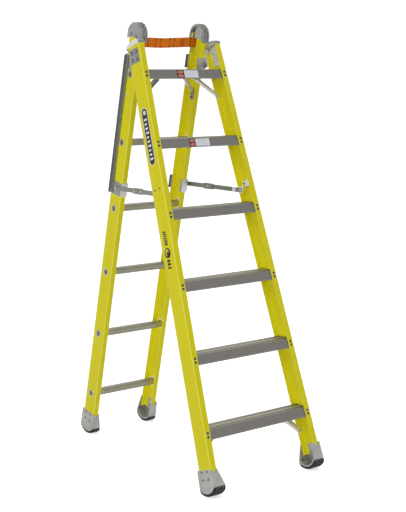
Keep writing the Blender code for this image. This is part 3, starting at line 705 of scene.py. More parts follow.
def build_steps():
    for k in range(STEP_COUNT):
        outline = step_outline(k)
        ends = [[(side * (front_web(s) - WALL - GAP), d, s) for d, s, painted_highlight in outline] for side in (-1, 1)]
        mesh = loft(ends)
        # per-point painted highlight on the tread's nose, rib and serrations
        painted_highlight = mesh.attributes.new("painted_highlight", "FLOAT", "POINT")
        for i, (d, s, value) in enumerate(outline * 2):
            painted_highlight.data[i].value = max(0.0, value)
        on_front(f"step_{k + 1}", mesh, STEP_METAL, "step_aluminium", [f"front_step_{k + 1}"], 25)
        for name, side in SIDES.items():
            base = k * PITCH
            web = front_web(base)
            corners = box(web - 0.0325, web - 0.006, base - 0.0215, base + 0.0180, 0.001, 3)
            outline = [(side * x, s) for x, s in corners]
            clip = plate_facing_back(outline, 0.00405, 0.00428)
            on_front(f"step_clip_{k + 1}_{name}", clip, CLIP_METAL, "dark_steel")


def build_step_rivets():
    for name, side in SIDES.items():
        front_heads, back_heads = [], []
        for k in range(STEP_COUNT):
            for rise in (-0.008, 0.008):
                s = k * PITCH + rise
                x = side * (front_web(s) - RIVET_INSET)
                front_heads.append(rivet(1, (x, 0.0, s), -1, 0.0061, 0.0030))
                back_heads.append(rivet(1, (x, FRONT_DEPTH, s), 1, 0.0061, 0.0030))
        on_front(f"step_rivets_{name}", gather(front_heads), RIVET_BLUE, "dark_steel")
        on_front(f"step_rivets_back_{name}", gather(back_heads), RIVET_BLUE, "dark_steel")


# ---------------------------------------------------------------- feet

def sole_spread(radius, half):
    return math.degrees(math.asin(half / radius))


def foot_shell(side, centre, limit, widths):
    """Cast boot: flared front and back walls, round sole, open inner side and a notched top edge."""
    d, s = centre
    spread = sole_spread(SOLE_RADIUS, 0.048)
    outline = [(d - FOOT_HALF, s + FOOT_RISE)] + arc(centre, SOLE_RADIUS, 270 - spread, 270 + spread, 22)
    outline += [(d + FOOT_HALF, s + FOOT_RISE)]

    def inner_edge(depth, along):
        return limit(widths[0] if along > s + FOOT_RISE - 0.001 else widths[1])(depth, along)

    body = slab(outline, side, limit(-FOOT_WALL), inner_edge)
    hollow_radius = SOLE_RADIUS - FOOT_WALL
    spread = sole_spread(hollow_radius, 0.043)
    hollow = [(d - 0.0413, s + 0.064)] + arc(centre, hollow_radius, 270 - spread, 270 + spread, 18)
    hollow += [(d + 0.0413, s + 0.064)]
    cavity = slab(hollow, side, limit(-GAP), limit(widths[1] + 0.03))
    middle, reach = limit(0.0135)(d, s), 0.0105
    notch = []
    for depth in (d - 0.049, d - 0.0375):
        loop = [(side * (middle + reach), depth, s + FOOT_RISE + 0.01)]
        for a, b in arc((middle, s + FOOT_RISE - 0.003), reach, 0, -180, 10):
            loop.append((side * a, depth, b))
        loop.append((side * (middle - reach), depth, s + FOOT_RISE + 0.01))
        notch.append(loop)
    return softened(combine(body, [cavity, loft(notch)], "DIFFERENCE"), 0.0011, 3, 40)


def foot_trim(side, centre, limit, widths):
    """Rolled rims along the sole's two edges, and the backing plate inside the boot."""
    d, s = centre
    parts = []
    spread = sole_spread(SOLE_RADIUS, 0.0478)
    for x_from, x_to in ((-0.0050, -0.0036), (widths[1] - 0.0022, widths[1] + 0.0008)):
        rim = arc(centre, SOLE_RADIUS + 0.0006, 270 - spread, 270 + spread, 26)
        rim += arc(centre, SOLE_RADIUS - 0.0040, 270 + spread, 270 - spread, 26)
        parts.append(softened(slab(rim, side, limit(x_from), limit(x_to)), 0.0005, 3, 40))
    rear = d > 0
    low, high = (-0.0125, 0.035) if rear else (-0.006, 0.040)
    back = 0.023 if rear else 0.012
    plate = rounded([(d - 0.0365, s + low, 0.003), (d + back, s + low - 0.001, 0.004),
                     (d + back, s + high, 0.004), (d - 0.0365, s + high, 0.003)], 4)
    parts.append(softened(slab(plate, side, limit(WALL + GAP), limit(WALL + 0.0024)), 0.0005, 2, 40))
    return gather(parts)


def ribbed_pad(side, centre, limit, widths, lean):
    """Rubber sole: round blocks across its width with grooves between them and cross cuts."""
    d, s = centre
    spread = sole_spread(SOLE_RADIUS, 0.0450)
    low, high = -0.0028, widths[1] - 0.0008
    stations, groove_highlight = [], []
    blocks = 5 if widths[1] > 0.05 else 4
    pitch = (high - low) / blocks
    for i in range(blocks):
        left, right = low + i * pitch, low + (i + 1) * pitch
        first, last = i == 0, i == blocks - 1
        if not first:
            stations.append((left + 0.0010, 0.0672))
        stations += [(left + (0.0 if first else 0.0018), 0.0694), (left + 0.0026, PAD_RADIUS),
                     (right - 0.0026, PAD_RADIUS), (right - (0.0 if last else 0.0018), 0.0694)]
        if not last:
            stations.append((right - 0.0010, 0.0672))
    loops = []
    count = 72
    for inward, radius in stations:
        loop = []
        for i in range(count + 1):
            angle = math.radians(270 - spread + 2 * spread * i / count)
            taper = 0.0050 * max(0.0, 1.0 - min(i, count - i) / 12) ** 2
            cut = i % 9 in (4, 5)
            tread = radius - taper - (0.0042 if cut and radius > 0.068 else 0.0)
            # groove floors take the painted highlight; cross cuts and block tops take none
            groove_highlight.append(0.0 if cut or radius > 0.068 else 1.0)
            a, b = tread * math.cos(angle), tread * math.sin(angle)
            height = SOLE_HEIGHT + b * math.cos(lean) - a * math.sin(lean)
            if height < FLOOR_GAP:
                shrink = (SOLE_HEIGHT - FLOOR_GAP) / (SOLE_HEIGHT - height)
                a, b = a * shrink, b * shrink
            x = limit(inward)(d + a, s + b)
            loop.append((side * x, d + a, s + b))
        for i in range(16, -1, -1):
            angle = math.radians(270 - spread + 2 * spread * i / 16)
            a, b = (SOLE_RADIUS + GAP) * math.cos(angle), (SOLE_RADIUS + GAP) * math.sin(angle)
            loop.append((side * limit(inward)(d + a, s + b), d + a, s + b))
            groove_highlight.append(0.0)
        loops.append(loop)
    mesh = loft(loops)
    painted_highlight = mesh.attributes.new("painted_highlight", "FLOAT", "POINT")
    painted_highlight.data.foreach_set("value", groove_highlight)
    return mesh


def build_feet():
    kinds = (("front", FRONT_FOOT, from_front_web, FRONT_LEAN, on_front),
             ("rear", REAR_FOOT, from_rear_web, -REAR_LEAN, on_rear))
    for kind, centre, limit, lean, add in kinds:
        widths = FOOT_WIDTHS[kind]
        d, s = centre
        for name, side in SIDES.items():
            add(f"boot_{kind}_{name}", foot_shell(side, centre, limit, widths), BOOT_METAL,
                "cast_aluminium", [f"{kind}_foot_{name}"], 30)
            add(f"boot_trim_{kind}_{name}", foot_trim(side, centre, limit, widths), BOOT_RIM,
                "cast_aluminium")
            add(f"sole_{kind}_{name}", ribbed_pad(side, centre, limit, widths, lean), RUBBER,
                "black_rubber", [f"{kind}_foot_pad_{name}"], 30)
            heads = []
            for across in (-0.020, 0.016):
                for drop in (0.0305, -0.0015):
                    x = side * limit(-FOOT_WALL)(d + across, s + drop)
                    heads.append(rivet(0, (x, d + across, s + drop), side, 0.0046, 0.0016, True))
            inner_heads = []
            at = d + (0.017 if d > 0 else 0.006)
            for rise in (0.030, -0.002):
                x = side * limit(WALL + 0.0024)(at, s + rise)
                inner_heads.append(rivet(0, (x, at, s + rise), -side, 0.0040, 0.0018, True))
            add(f"boot_rivets_inner_{kind}_{name}", gather(inner_heads), RIVET_STEEL, "cast_aluminium")
            # a dark disc on the boot's back: painted shade standing for a hole
            hole_shade = (side * limit(widths[1] * 0.66)(d, s - 0.026), d + 0.0407, s - 0.028)
            heads.append(round_piece(1, hole_shade, [(0.0004, 0.0046), (0.0012, 0.0046)], 24))
            add(f"boot_rivets_{kind}_{name}", gather(heads), RIVET_DARK, "dark_steel")


# ---------------------------------------------------------------- rungs

def build_rungs():
    count = 48
    inner_web = REAR_WEB - WALL
    angles = [2 * math.pi * (i + 0.5) / count for i in range(count)]

    def bar_radius(angle):
        c, s = abs(math.cos(angle)) / 0.017, abs(math.sin(angle)) / 0.0145
        radius = (c ** 4 + s ** 4) ** -0.25
        return radius - (0.0006 if int(angle / (2 * math.pi) * count) % 3 == 1 else 0.0)

    rings, collars = {name: [] for name in SIDES}, {name: [] for name in SIDES}
    for k in range(STEP_COUNT):
        base = k * PITCH

        def hoop(x, radius):
            return [(x, radius * math.cos(a), base + radius * math.sin(a)) for a in angles]

        def bar(x):
            return [(x, bar_radius(a) * math.cos(a), base + bar_radius(a) * math.sin(a)) for a in angles]

        face, collar = REAR_WEB + GAP, inner_web - GAP
        right = [hoop(0.120, 0.0098), hoop(face - 0.002, 0.0098), hoop(face + 0.0004, 0.0106),
                 hoop(face + 0.0008, 0.0120), hoop(face - 0.0006, 0.0124), hoop(collar, 0.0124), bar(collar)]
        left = [[(-x, d, s) for x, d, s in loop] for loop in reversed(right)]
        on_rear(f"rung_tube_{k + 1}", loft(right + left, ring=True), RUNG_METAL, "step_aluminium",
                [f"rung_{k + 1}"], 40)
        for name, side in SIDES.items():
            profile = [(face, 0.0126), (face + 0.0011, 0.0127), (face + 0.0019, 0.0136),
                       (face + 0.0022, 0.0149), (face + 0.0017, 0.0163), (face + 0.0008, 0.0174),
                       (face, 0.0177)]
            rings[name].append(ring_piece(side, base, profile))
            profile = [(collar, 0.0180), (collar - 0.0022, 0.0180), (collar - 0.0042, 0.0194),
                       (collar - 0.0044, 0.0220), (collar - 0.0026, 0.0234), (collar, 0.0236)]
            collars[name].append(ring_piece(side, base, profile))
    for name in SIDES:
        on_rear(f"rung_rings_{name}", gather(rings[name]), RING_METAL, "bright_steel")
        on_rear(f"rung_collars_{name}", gather(collars[name]), COLLAR_METAL, "bright_steel")


def ring_piece(side, base, profile, count=40):
    """Closed ring round a rung, from an (x, radius) profile."""
    loops = []
    for i in range(count):
        angle = 2 * math.pi * i / count
        loops.append([(side * x, r * math.cos(angle), base + r * math.sin(angle)) for x, r in profile])
    return loft(loops, ring=True)


# ---------------------------------------------------------------- guards and strap

def build_guards():
    """Moulded hoods on the rear rail tops: smooth outer part, three lumpy ribs inboard, an inner liner."""
    middle = (0.0, REAR_TOP - 0.006)
    hem = REAR_TOP - 0.029
    count = 112
    lump = 14
    stations = [(-0.0037, 0.0486, -1), (-0.0031, 0.0506, -1), (-0.0012, 0.0516, -1), (0.0052, 0.0514, -1)]
    for rib in range(3):
        start = 0.0056 + rib * 0.0085
        stations += [(start, 0.0456, -1), (start + 0.0020, 0.0456, -1), (start + 0.0027, 0.0500, rib),
                     (start + 0.0040, 0.0523, rib), (start + 0.0066, 0.0523, rib),
                     (start + 0.0080, 0.0500, rib)]
    stations += [(0.0318, 0.0480, -1)]
    for name, side in SIDES.items():
        loops = []
        for inward, radius, rib in stations:
            x = side * (REAR_WEB - inward)
            loop = [(x, -radius, hem)]
            for i in range(count + 1):
                angle = math.radians(180 - 180 * i / count)
                place = (i + 5 * rib) % lump
                dip = 0.0066 if place in (0, 1) else 0.0036 if place in (2, lump - 1) else 0.0
                over_top = 0.10 < i / count < 0.92
                reach = radius - (dip if rib >= 0 and over_top else 0.0)
                loop.append((x, middle[0] + reach * math.cos(angle), middle[1] + reach * math.sin(angle)))
            loop.append((x, radius, hem))
            loop += [(x, a, b) for a, b in arc((0.0, hem - 0.098), 0.1085, 65, 115, 10)]
            loops.append(loop)
        shell = loft(loops)
        inner = [(-0.0404, hem - 0.03)] + arc(middle, 0.0412, 166, 14, 20) + [(0.0404, hem - 0.03)]
        cavity = slab(inner, side, from_rear_web(-GAP), from_rear_web(0.06))
        on_rear(f"guard_{name}", combine(shell, [cavity], "DIFFERENCE"), GUARD, "guard_grey",
                [f"mar_guard_{name}"], 30)
        dome = [(-0.034, REAR_TOP - 0.021)] + arc(middle, 0.0405, 150, 52, 14) + [(0.0249, REAR_TOP - 0.021)]
        liner = [slab(dome, side, from_rear_web(WALL + 0.0004), from_rear_web(WALL + 0.0150))]
        for across in (-0.022, -0.006, 0.010):
            fin = box(across - 0.0012, across + 0.0012, REAR_TOP - 0.017, REAR_TOP + 0.022, 0.0004, 2)
            liner.append(slab(fin, side, from_rear_web(WALL + 0.0150), from_rear_web(0.024)))
        on_rear(f"guard_liner_{name}", gather([softened(part, 0.0005, 2, 40) for part in liner]), GUARD_LINER,
                "guard_grey")
        slots = [slab(box(d - 0.0028, d + 0.0028, s - 0.0065, s + 0.0075, 0.0026), side,
                      from_rear_web(-0.0030), from_rear_web(-0.0039))
                 for d, s in ((0.022, 1.6945), (-0.015, 1.6910))]
        on_rear(f"guard_slots_{name}", gather(slots), SLOT_DARK, "dark_steel")


STRAP_LOW, STRAP_HIGH = 1.642, 1.685
STRAP_FACE = 0.0308
STRAP_FOLD = 0.0019
STRAP_SAG = ((-0.180, -0.0048), (-0.090, -0.0068), (-0.015, -0.0082), (0.070, -0.0054), (0.130, -0.0030),
             (0.180, -0.0020))


def strap_sag(x):
    """How far the band hangs below its straight line."""
    for (x0, s0), (x1, s1) in zip(STRAP_SAG, STRAP_SAG[1:]):
        if x <= x1:
            t = max(0.0, min(1.0, (x - x0) / (x1 - x0)))
            return s0 + (s1 - s0) * t * t * (3 - 2 * t)
    return STRAP_SAG[-1][1]


def strap_wave(x, s):
    """How far the hanging band bows forward."""
    return -0.0011 * math.cos(x * 16.0) - 0.0004 * math.sin(x * 61.0 + 40 * (s - STRAP_LOW))


def band(x_from, x_to, face, thickness, count, inset=0.0):
    """Woven band with thicker selvedges, as one closed shell."""
    low, high = STRAP_LOW + inset, STRAP_HIGH - inset
    heights = [0.0, 0.0012, 0.0030, 0.0042, 0.012, 0.0215, 0.031, 0.0388, 0.0400, 0.0418, 0.0430]
    proud = [-0.0004, 0.0002, 0.0003, 0.0, 0.0, 0.0, 0.0, 0.0, 0.0003, 0.0002, -0.0004]
    loops = []
    for i in range(count + 1):
        x = x_from + (x_to - x_from) * i / count
        front, back = [], []
        for h, p in zip(heights, proud):
            s = low + (high - low) * h / 0.0430 + strap_sag(x)
            bow = strap_wave(x, s)
            front.append((x, face + bow - p, s))
            back.append((x, face + bow + thickness + p, s))
        loops.append(front + back[::-1])
    return loft(loops)


def build_strap():
    sheet = on_rear("strap_band", band(-0.1765, 0.1765, STRAP_FACE, 0.0017, 120), STRAP, "orange_webbing",
                    ["pole_strap"], 40)
    for name, side in SIDES.items():
        fold = band(side * 0.1772, side * 0.1400, STRAP_FACE - STRAP_FOLD, 0.0016, 16, 0.0006)
        on_rear(f"strap_fold_{name}", fold, STRAP, "orange_webbing", angle=40)
        sag = strap_sag(side * 0.177)
        outline = [(side * a, STRAP_FACE - STRAP_FOLD + b) for a, b in
                   ((0.1760, 0.0), (0.1788, -0.0006), (0.1794, 0.0009), (0.1788, 0.0030), (0.1760, 0.0036))]
        end = column(outline, (STRAP_LOW + 0.0006 + sag, STRAP_HIGH - 0.0006 + sag))
        on_rear(f"strap_end_{name}", end, STRAP_EDGE, "orange_webbing", angle=60)
    stitches = []
    for x, kind in ((-0.1475, "zigzag"), (-0.108, "column"), (-0.086, "zigzag"), (-0.044, "tacks"),
                    (-0.0165, "tacks"), (0.0325, "tacks"), (0.057, "tacks"), (0.098, "zigzag"),
                    (0.111, "column"), (0.1475, "column")):
        face = STRAP_FACE + strap_wave(x, STRAP_LOW) - (STRAP_FOLD if abs(x) > 0.14 else 0.0) - 0.0001
        sag = strap_sag(x)
        if kind == "tacks":
            for low, high in ((0.0030, 0.0102), (0.0328, 0.0400)):
                for i in range(13):
                    s = STRAP_LOW + sag + low + (high - low) * i / 12
                    stitches.append(stitch(x, s, face - 0.0007, 0.0026, 0.00052))
            for i in range(9):
                stitches.append(stitch(x, STRAP_LOW + sag + 0.0098 + i * 0.0029, face, 0.0005, 0.0012))
        else:
            swing = 0.0015 if kind == "zigzag" else 0.0004
            for i in range(17):
                s = STRAP_LOW + sag + 0.0032 + i * 0.0023
                stitches.append(stitch(x + swing * (-1) ** i, s, face - 0.0003, 0.0014, 0.0015))
    for side in (-1, 1):
        for i in range(8):
            x = side * (0.1445 + i * 0.0042)
            for edge in (STRAP_LOW + 0.0046, STRAP_HIGH - 0.0046):
                stitches.append(stitch(x, edge + strap_sag(x), STRAP_FACE - 0.0029, 0.0013, 0.0004))
    on_rear("strap_stitches", gather(stitches), THREAD, "orange_webbing", angle=60)


def stitch(x, s, face, half_width, half_height):
    """One raised thread stitch, its ends dipping into the band."""
    upright = half_height >= half_width
    loops = []
    for t, rise in ((-1.0, -0.0004), (-0.85, 0.0003), (0.0, 0.0005), (0.85, 0.0003), (1.0, -0.0004)):
        loop = []
        for i in range(8):
            angle = 2 * math.pi * i / 8
            across = (half_width if upright else half_height) * math.cos(angle)
            depth = 0.0003 * math.sin(angle) - rise
            if upright:
                loop.append((x + across, face + depth, s + t * half_height))
            else:
                loop.append((x + t * half_width, face + depth, s + across))
        loops.append(loop)
    return loft(loops)


def build_strap_bars():
    """Clamp bars behind the strap ends, waisted to a round lug at each bolt."""
    back = REAR_HALF - WALL - GAP
    middle = 0.1655
    bolts = (1.6205, 1.6925)
    for name, side in SIDES.items():
        outline = arc((middle, bolts[0]), 0.0060, 135, 405, 14)
        outline += [(middle + 0.0030, 1.630), (middle + 0.0065, 1.640), (middle + 0.0065, 1.681)]
        outline += arc((middle, bolts[1]), 0.0062, -30, 210, 14)
        outline += [(middle - 0.0065, 1.681), (middle - 0.0065, 1.640), (middle - 0.0030, 1.630)]
        mesh = plate_facing_back([(side * x, s) for x, s in outline], back - 0.0025, back)
        on_rear(f"strap_clamp_{name}", softened(mesh, 0.0006, 2, 50), RING_METAL, "bright_steel",
                [f"strap_bar_{name}"])
        heads = [bolt_head(1, (side * middle, back - 0.0025, s), -1, 0.0088, 0.0035) for s in bolts]
        heads += [rivet(1, (side * middle, REAR_HALF, s), 1, 0.0046, 0.0026) for s in bolts]
        on_rear(f"strap_bolts_{name}", gather(heads), RING_METAL, "bright_steel")


# ---------------------------------------------------------------- guides, links and hinges

def guide_sleeve(side, middle, ear=None):
    """Folded sleeve round a rear rail with hooked ends inboard, and an ear at the main pivot."""
    half, metal = GUIDE_HALF, GUIDE_METAL
    tip = REAR_WEB - REAR_FLANGE - 0.001
    hook = tip - metal
    low, high = middle - GUIDE_REACH, middle + GUIDE_REACH
    corners = [(hook, -half, 0.0022), (GUIDE_OUTER, -half, 0.0042), (GUIDE_OUTER, half, 0.0042),
               (hook - 0.008, half, 0.0012), (hook - 0.008, half - metal, 0.0012),
               (hook, half - metal, 0.0004), (hook, half - 0.012, 0.001), (tip, half - 0.012, 0.001),
               (tip, half - metal, 0.0006), (GUIDE_INNER, half - metal, 0.0016),
               (GUIDE_INNER, metal - half, 0.0016), (tip, metal - half, 0.0006),
               (tip, 0.012 - half, 0.001), (hook, 0.012 - half, 0.001)]
    sleeve = column([(side * x, d) for x, d in rounded(corners, 4)], (low, high))
    if ear:
        outline = arc(ear, 0.0125, 120, 240, 12) + [(-0.036, low + 0.002), (-0.036, high - 0.002)]
        plate = slab(outline, side, GUIDE_INNER + 0.00015, GUIDE_OUTER - 0.00015)
        sleeve = combine(sleeve, [plate], "UNION")
    return softened(sleeve, 0.0005, 2, 50)


def build_guides():
    def on_lip(centre):
        return centre.y > 0.040 and abs(centre.x) < REAR_WEB - 0.0318

    # the hooked lip faces at the back take the dark copy of the zinc, painted shade
    trim = (LIP_SHADE_METAL, on_lip)
    for name, side in SIDES.items():
        on_guides(f"guide_upper_{name}", guide_sleeve(side, REAR_PIVOT[1], REAR_PIVOT), BRIGHT_REAR,
                  "bright_steel", [f"upper_guide_{name}"], trim=trim)
        on_guides(f"guide_lower_{name}", guide_sleeve(side, LOWER_GUIDE), BRIGHT_REAR, "bright_steel",
                  [f"lower_guide_{name}"], trim=trim)
        low, high = LOWER_GUIDE - 0.0275, REAR_PIVOT[1] + 0.0285
        x0 = GUIDE_OUTER + GAP
        corners = [(x0, 0.014, 0.0012), (x0 + 0.0028, 0.014, 0.0012), (x0 + 0.0028, 0.0302, 0.0022),
                   (x0 + 0.013, 0.0302, 0.0012), (x0 + 0.013, 0.033, 0.0012), (x0, 0.033, 0.0034)]
        outline = [(side * x, d) for x, d in rounded(corners, 4)]
        on_guides(f"link_{name}", softened(column(outline, (low, high)), 0.0005, 2, 50), LINK_METAL,
                  "dark_steel", [f"guide_link_{name}"])
        heads = []
        for s in (REAR_PIVOT[1] + 0.0155, REAR_PIVOT[1] - 0.0165, LOWER_GUIDE + 0.0155, LOWER_GUIDE - 0.0145):
            heads.append(rivet(0, (side * (x0 + 0.0028), 0.0215, s), side, 0.0052, 0.0030))
            heads.append(rivet(0, (side * 0.1861, 0.0215, s), -side, 0.0034, 0.0003))
        on_guides(f"link_rivets_{name}", gather(heads), RIVET_STEEL, "bright_steel")


def hinge_cap(side):
    """Domed cap over a front rail's top, rounded towards its sides and lapped over the back flange."""
    seat = FRONT_TOP + GAP
    spine = [(-0.0020, 0.0), (-0.0021, 0.006), (-0.0008, 0.0125), (0.0045, 0.0172), (0.012, 0.0200),
             (0.024, 0.0222), (0.038, 0.0232), (0.052, 0.0230), (0.064, 0.0213), (0.076, 0.0180),
             (0.086, 0.0122), (0.0915, 0.0060), (0.0936, -0.0010), (0.0938, -0.0060)]
    floor = [(0.0850, -0.0060), (0.0838, -0.0040), (0.0828, 0.0)]
    outer, inner = front_web(seat) + 0.0015, HINGE_EAR[0]
    loops = []
    stations = 16
    for i in range(stations + 1):
        t = i / stations
        x = outer + (inner - outer) * t
        edge = min(1.0, min(t, 1.0 - t) * 5.0)
        crown = 0.80 + 0.20 * math.sqrt(1.0 - (1.0 - edge) ** 2)
        loop = []
        for d, h in spine:
            loop.append((side * x, 0.042 + (d - 0.042) * (0.97 + 0.03 * edge),
                         seat + (h * crown if h > 0 else h)))
        loop += [(side * x, d, seat + h) for d, h in floor]
        loops.append(loop)
    return loft(loops)


def build_hinges():
    ear_inner, ear_outer = HINGE_EAR
    lap = FRONT_TOP + GAP + 0.0012
    for name, side in SIDES.items():
        outline = rounded([(0.006, 1.573, 0.003), (0.070, 1.573, 0.003), (0.070, lap, 0.0),
                           (0.006, lap, 0.0)])
        web = slab(outline, side, from_front_web(WALL + GAP), from_front_web(0.0075))
        back = FRONT_DEPTH - WALL - GAP
        tab = slab(rounded([(back - 0.003, 1.640, 0.001), (back, 1.640, 0.001), (back, lap, 0.0),
                            (back - 0.003, lap, 0.0)], 3), side, from_front_web(WALL + GAP), ear_inner)
        ear_outline = [(0.074, lap), (0.074, 1.600)] + arc(FRONT_PIVOT, 0.0135, 190, 400, 24)
        ear_outline += [(0.0845, 1.622), (0.0845, lap)]
        ear = slab(ear_outline, side, ear_inner, ear_outer)
        plates = [softened(mesh, 0.0006) for mesh in (web, ear)]
        on_front(f"hinge_bracket_{name}", gather(plates), BRIGHT_FRONT, "bright_steel",
                 [f"top_hinge_bracket_{name}"])
        on_front(f"hinge_cap_{name}", hinge_cap(side), CAP_METAL, "bright_steel", angle=34)
        # the tab's pale tone is a painted highlight
        on_front(f"hinge_tab_{name}", softened(tab, 0.0006), TAB_HIGHLIGHT_METAL, "bright_steel")
        outline = rounded([(0.009, 1.583, 0.003), (0.072, 1.583, 0.003), (0.073, 1.649, 0.003),
                           (0.010, 1.645, 0.003)])
        cover = slab(outline, side, from_front_web(-GAP - 0.003), from_front_web(-GAP))
        on_front(f"hinge_cover_{name}", softened(cover, 0.0006), DARK_FRONT, "dark_steel",
                 [f"hinge_plate_{name}"])
        heads, inner_heads, rims = [], [], []
        for d, s in ((0.0565, 1.6315), (0.0235, 1.6300), (0.0590, 1.5985), (0.0240, 1.5960)):
            x = side * (front_web(s) + 0.0033)
            heads.append(rivet(0, (x + side * 0.0019, d, s), side, 0.0031, 0.0014))
            # a wide dark dome round each head: a painted shadow ring on the cover
            rims.append(rivet(0, (x, d, s), side, 0.0080, 0.0026))
            x = side * (front_web(s) - 0.0075)
            inner_heads.append(rivet(0, (x, d, s), -side, 0.0046, 0.0022))
        on_front(f"hinge_rivet_shadows_{name}", gather(rims), RIVET_DARK, "dark_steel")
        on_front(f"hinge_rivets_{name}", gather(heads), RIVET_GREY, "bright_steel")
        on_front(f"hinge_rivets_inner_{name}", gather(inner_heads), RIVET_GREY, "bright_steel")
        head = ear_outer + GAP
        pin = [(0.1862, 0.005), (0.1891, 0.005), (0.1892, 0.008), (0.1896, 0.008), (0.1897, 0.005),
               (head, 0.005), (head, 0.0080), (head + 0.0012, 0.0080), (head + 0.0026, 0.0068),
               (head + 0.0032, 0.0040)]
        on_front(f"pivot_pin_{name}", turned_pin(side, FRONT_PIVOT, pin, 32), RIVET_GREY, "bright_steel",
                 [f"hinge_pin_{name}"])


# ---------------------------------------------------------------- braces

def strut(side, low_drop, k, top_x, top_rise, low_width, top_width):
    """Pressed angle strut in front of the back flanges, with a folded edge."""
    low_s = k * PITCH - low_drop
    low = Vector((front_web(low_s) - 0.020, low_s))
    top = Vector((top_x, k * PITCH + top_rise))
    run = (top - low).normalized()
    across = Vector((run.y, -run.x))
    if across.y < 0:
        across = -across
    foot_end = low - run * 0.008
    corners = [(foot_end - across * low_width / 2, 0.008), (foot_end + across * low_width / 2, 0.008),
               (top + across * top_width / 2, 0.003), (top - across * top_width / 2, 0.003)]
    outline = [(side * x, s) for x, s in rounded([(p.x, p.y, r) for p, r in corners], 5)]
    back = FRONT_DEPTH - WALL - GAP
    leaf = softened(plate_facing_back(outline, back - 0.003, back), 0.0005)
    start = low - across * low_width / 2 + run * 0.016
    end = start + run * 0.78 * (top - low).length
    lip = across * 0.0026
    fold = plate_facing_back([(side * p.x, p.y) for p in (start, start + lip, end + lip, end)],
                             back - 0.014, back - 0.001)
    head = rivet(1, (side * low.x, back - 0.003, low.y), -1, 0.0050, 0.0026)
    tail = rivet(1, (side * low.x, FRONT_DEPTH, low.y), 1, 0.0050, 0.0026)
    return gather([leaf, softened(fold, 0.0005)]), gather([head, tail])


def build_braces():
    for name, side in SIDES.items():
        for label, k, drop, top_x, rise, low_w, top_w in (
                ("top_step", STEP_COUNT - 1, 0.081, 0.095, 0.012, 0.020, 0.020),
                ("bottom_step", 0, 0.076, 0.185, 0.010, 0.022, 0.036)):
            mesh, heads = strut(side, drop, k, top_x, rise, low_w, top_w)
            on_front(f"strut_{label}_{name}", mesh, BRIGHT_FRONT, "bright_steel", [f"{label}_brace_{name}"])
            on_front(f"strut_rivets_{label}_{name}", heads, RIVET_GREY, "bright_steel")
        web = REAR_WEB - WALL - GAP
        under = (STEP_COUNT - 1) * PITCH - 0.0145 - GAP
        bend = web - 0.060
        corners = [(web, 1.412, 0.0), (web, 1.451, 0.003), (bend, under, 0.004), (bend - 0.022, under, 0.0),
                   (bend - 0.022, under - 0.003, 0.0), (bend - 0.012, under - 0.003, 0.006),
                   (web - 0.003, 1.4375, 0.004), (web - 0.003, 1.412, 0.0)]
        outline = [(side * x, s) for x, s in rounded(corners, 5)]
        mesh = softened(plate_facing_back(outline, -0.008, 0.008), 0.0006)
        on_rear(f"rung_brace_{name}", mesh, BRIGHT_REAR, "bright_steel", [f"rear_brace_{name}"])
        pad = slab(box(-0.011, 0.011, 1.406, 1.452, 0.004), side, web - 0.0032, web - 0.0052)
        on_rear(f"rung_brace_pad_{name}", softened(pad, 0.0005, 2, 38), DARK_FRONT, "dark_steel")
        heads = [rivet(0, (side * (web - 0.0052), 0.0, s), -side, 0.0050, 0.0030, True)
                 for s in (1.418, 1.440)]
        on_rear(f"rung_brace_rivets_{name}", gather(heads), RIVET_DARK, "dark_steel")
        on_rear(f"rung_brace_stud_{name}", rivet(0, (side * REAR_WEB, 0.0, 1.4325), side, 0.0056, 0.0022),
                RING_METAL, "bright_steel")


# ---------------------------------------------------------------- spreaders

def arm_outline(half, reach, tail, lap):
    """Spreader arm from its pivot to just past the middle joint, where it widens."""
    points = arc((0.0, 0.0), half, 90, 270, 14)
    corners = [(reach - tail, -half, 0.002), (reach - tail + 0.005, -lap, 0.002),
               (reach + tail, -lap, 0.005), (reach + tail, lap, 0.005),
               (reach - tail + 0.005, lap, 0.002), (reach - tail, half, 0.002)]
    closed = rounded([(0.0, -half, 0.0)] + corners + [(0.0, half, 0.0)], 4)
    return points + closed[1:-1]


def turned_outline(points, pivot, angle):
    """Points turned by an angle and moved to a pivot."""
    cosine, sine = math.cos(angle), math.sin(angle)
    return [(pivot[0] + u * cosine - v * sine, pivot[1] + u * sine + v * cosine) for u, v in points]


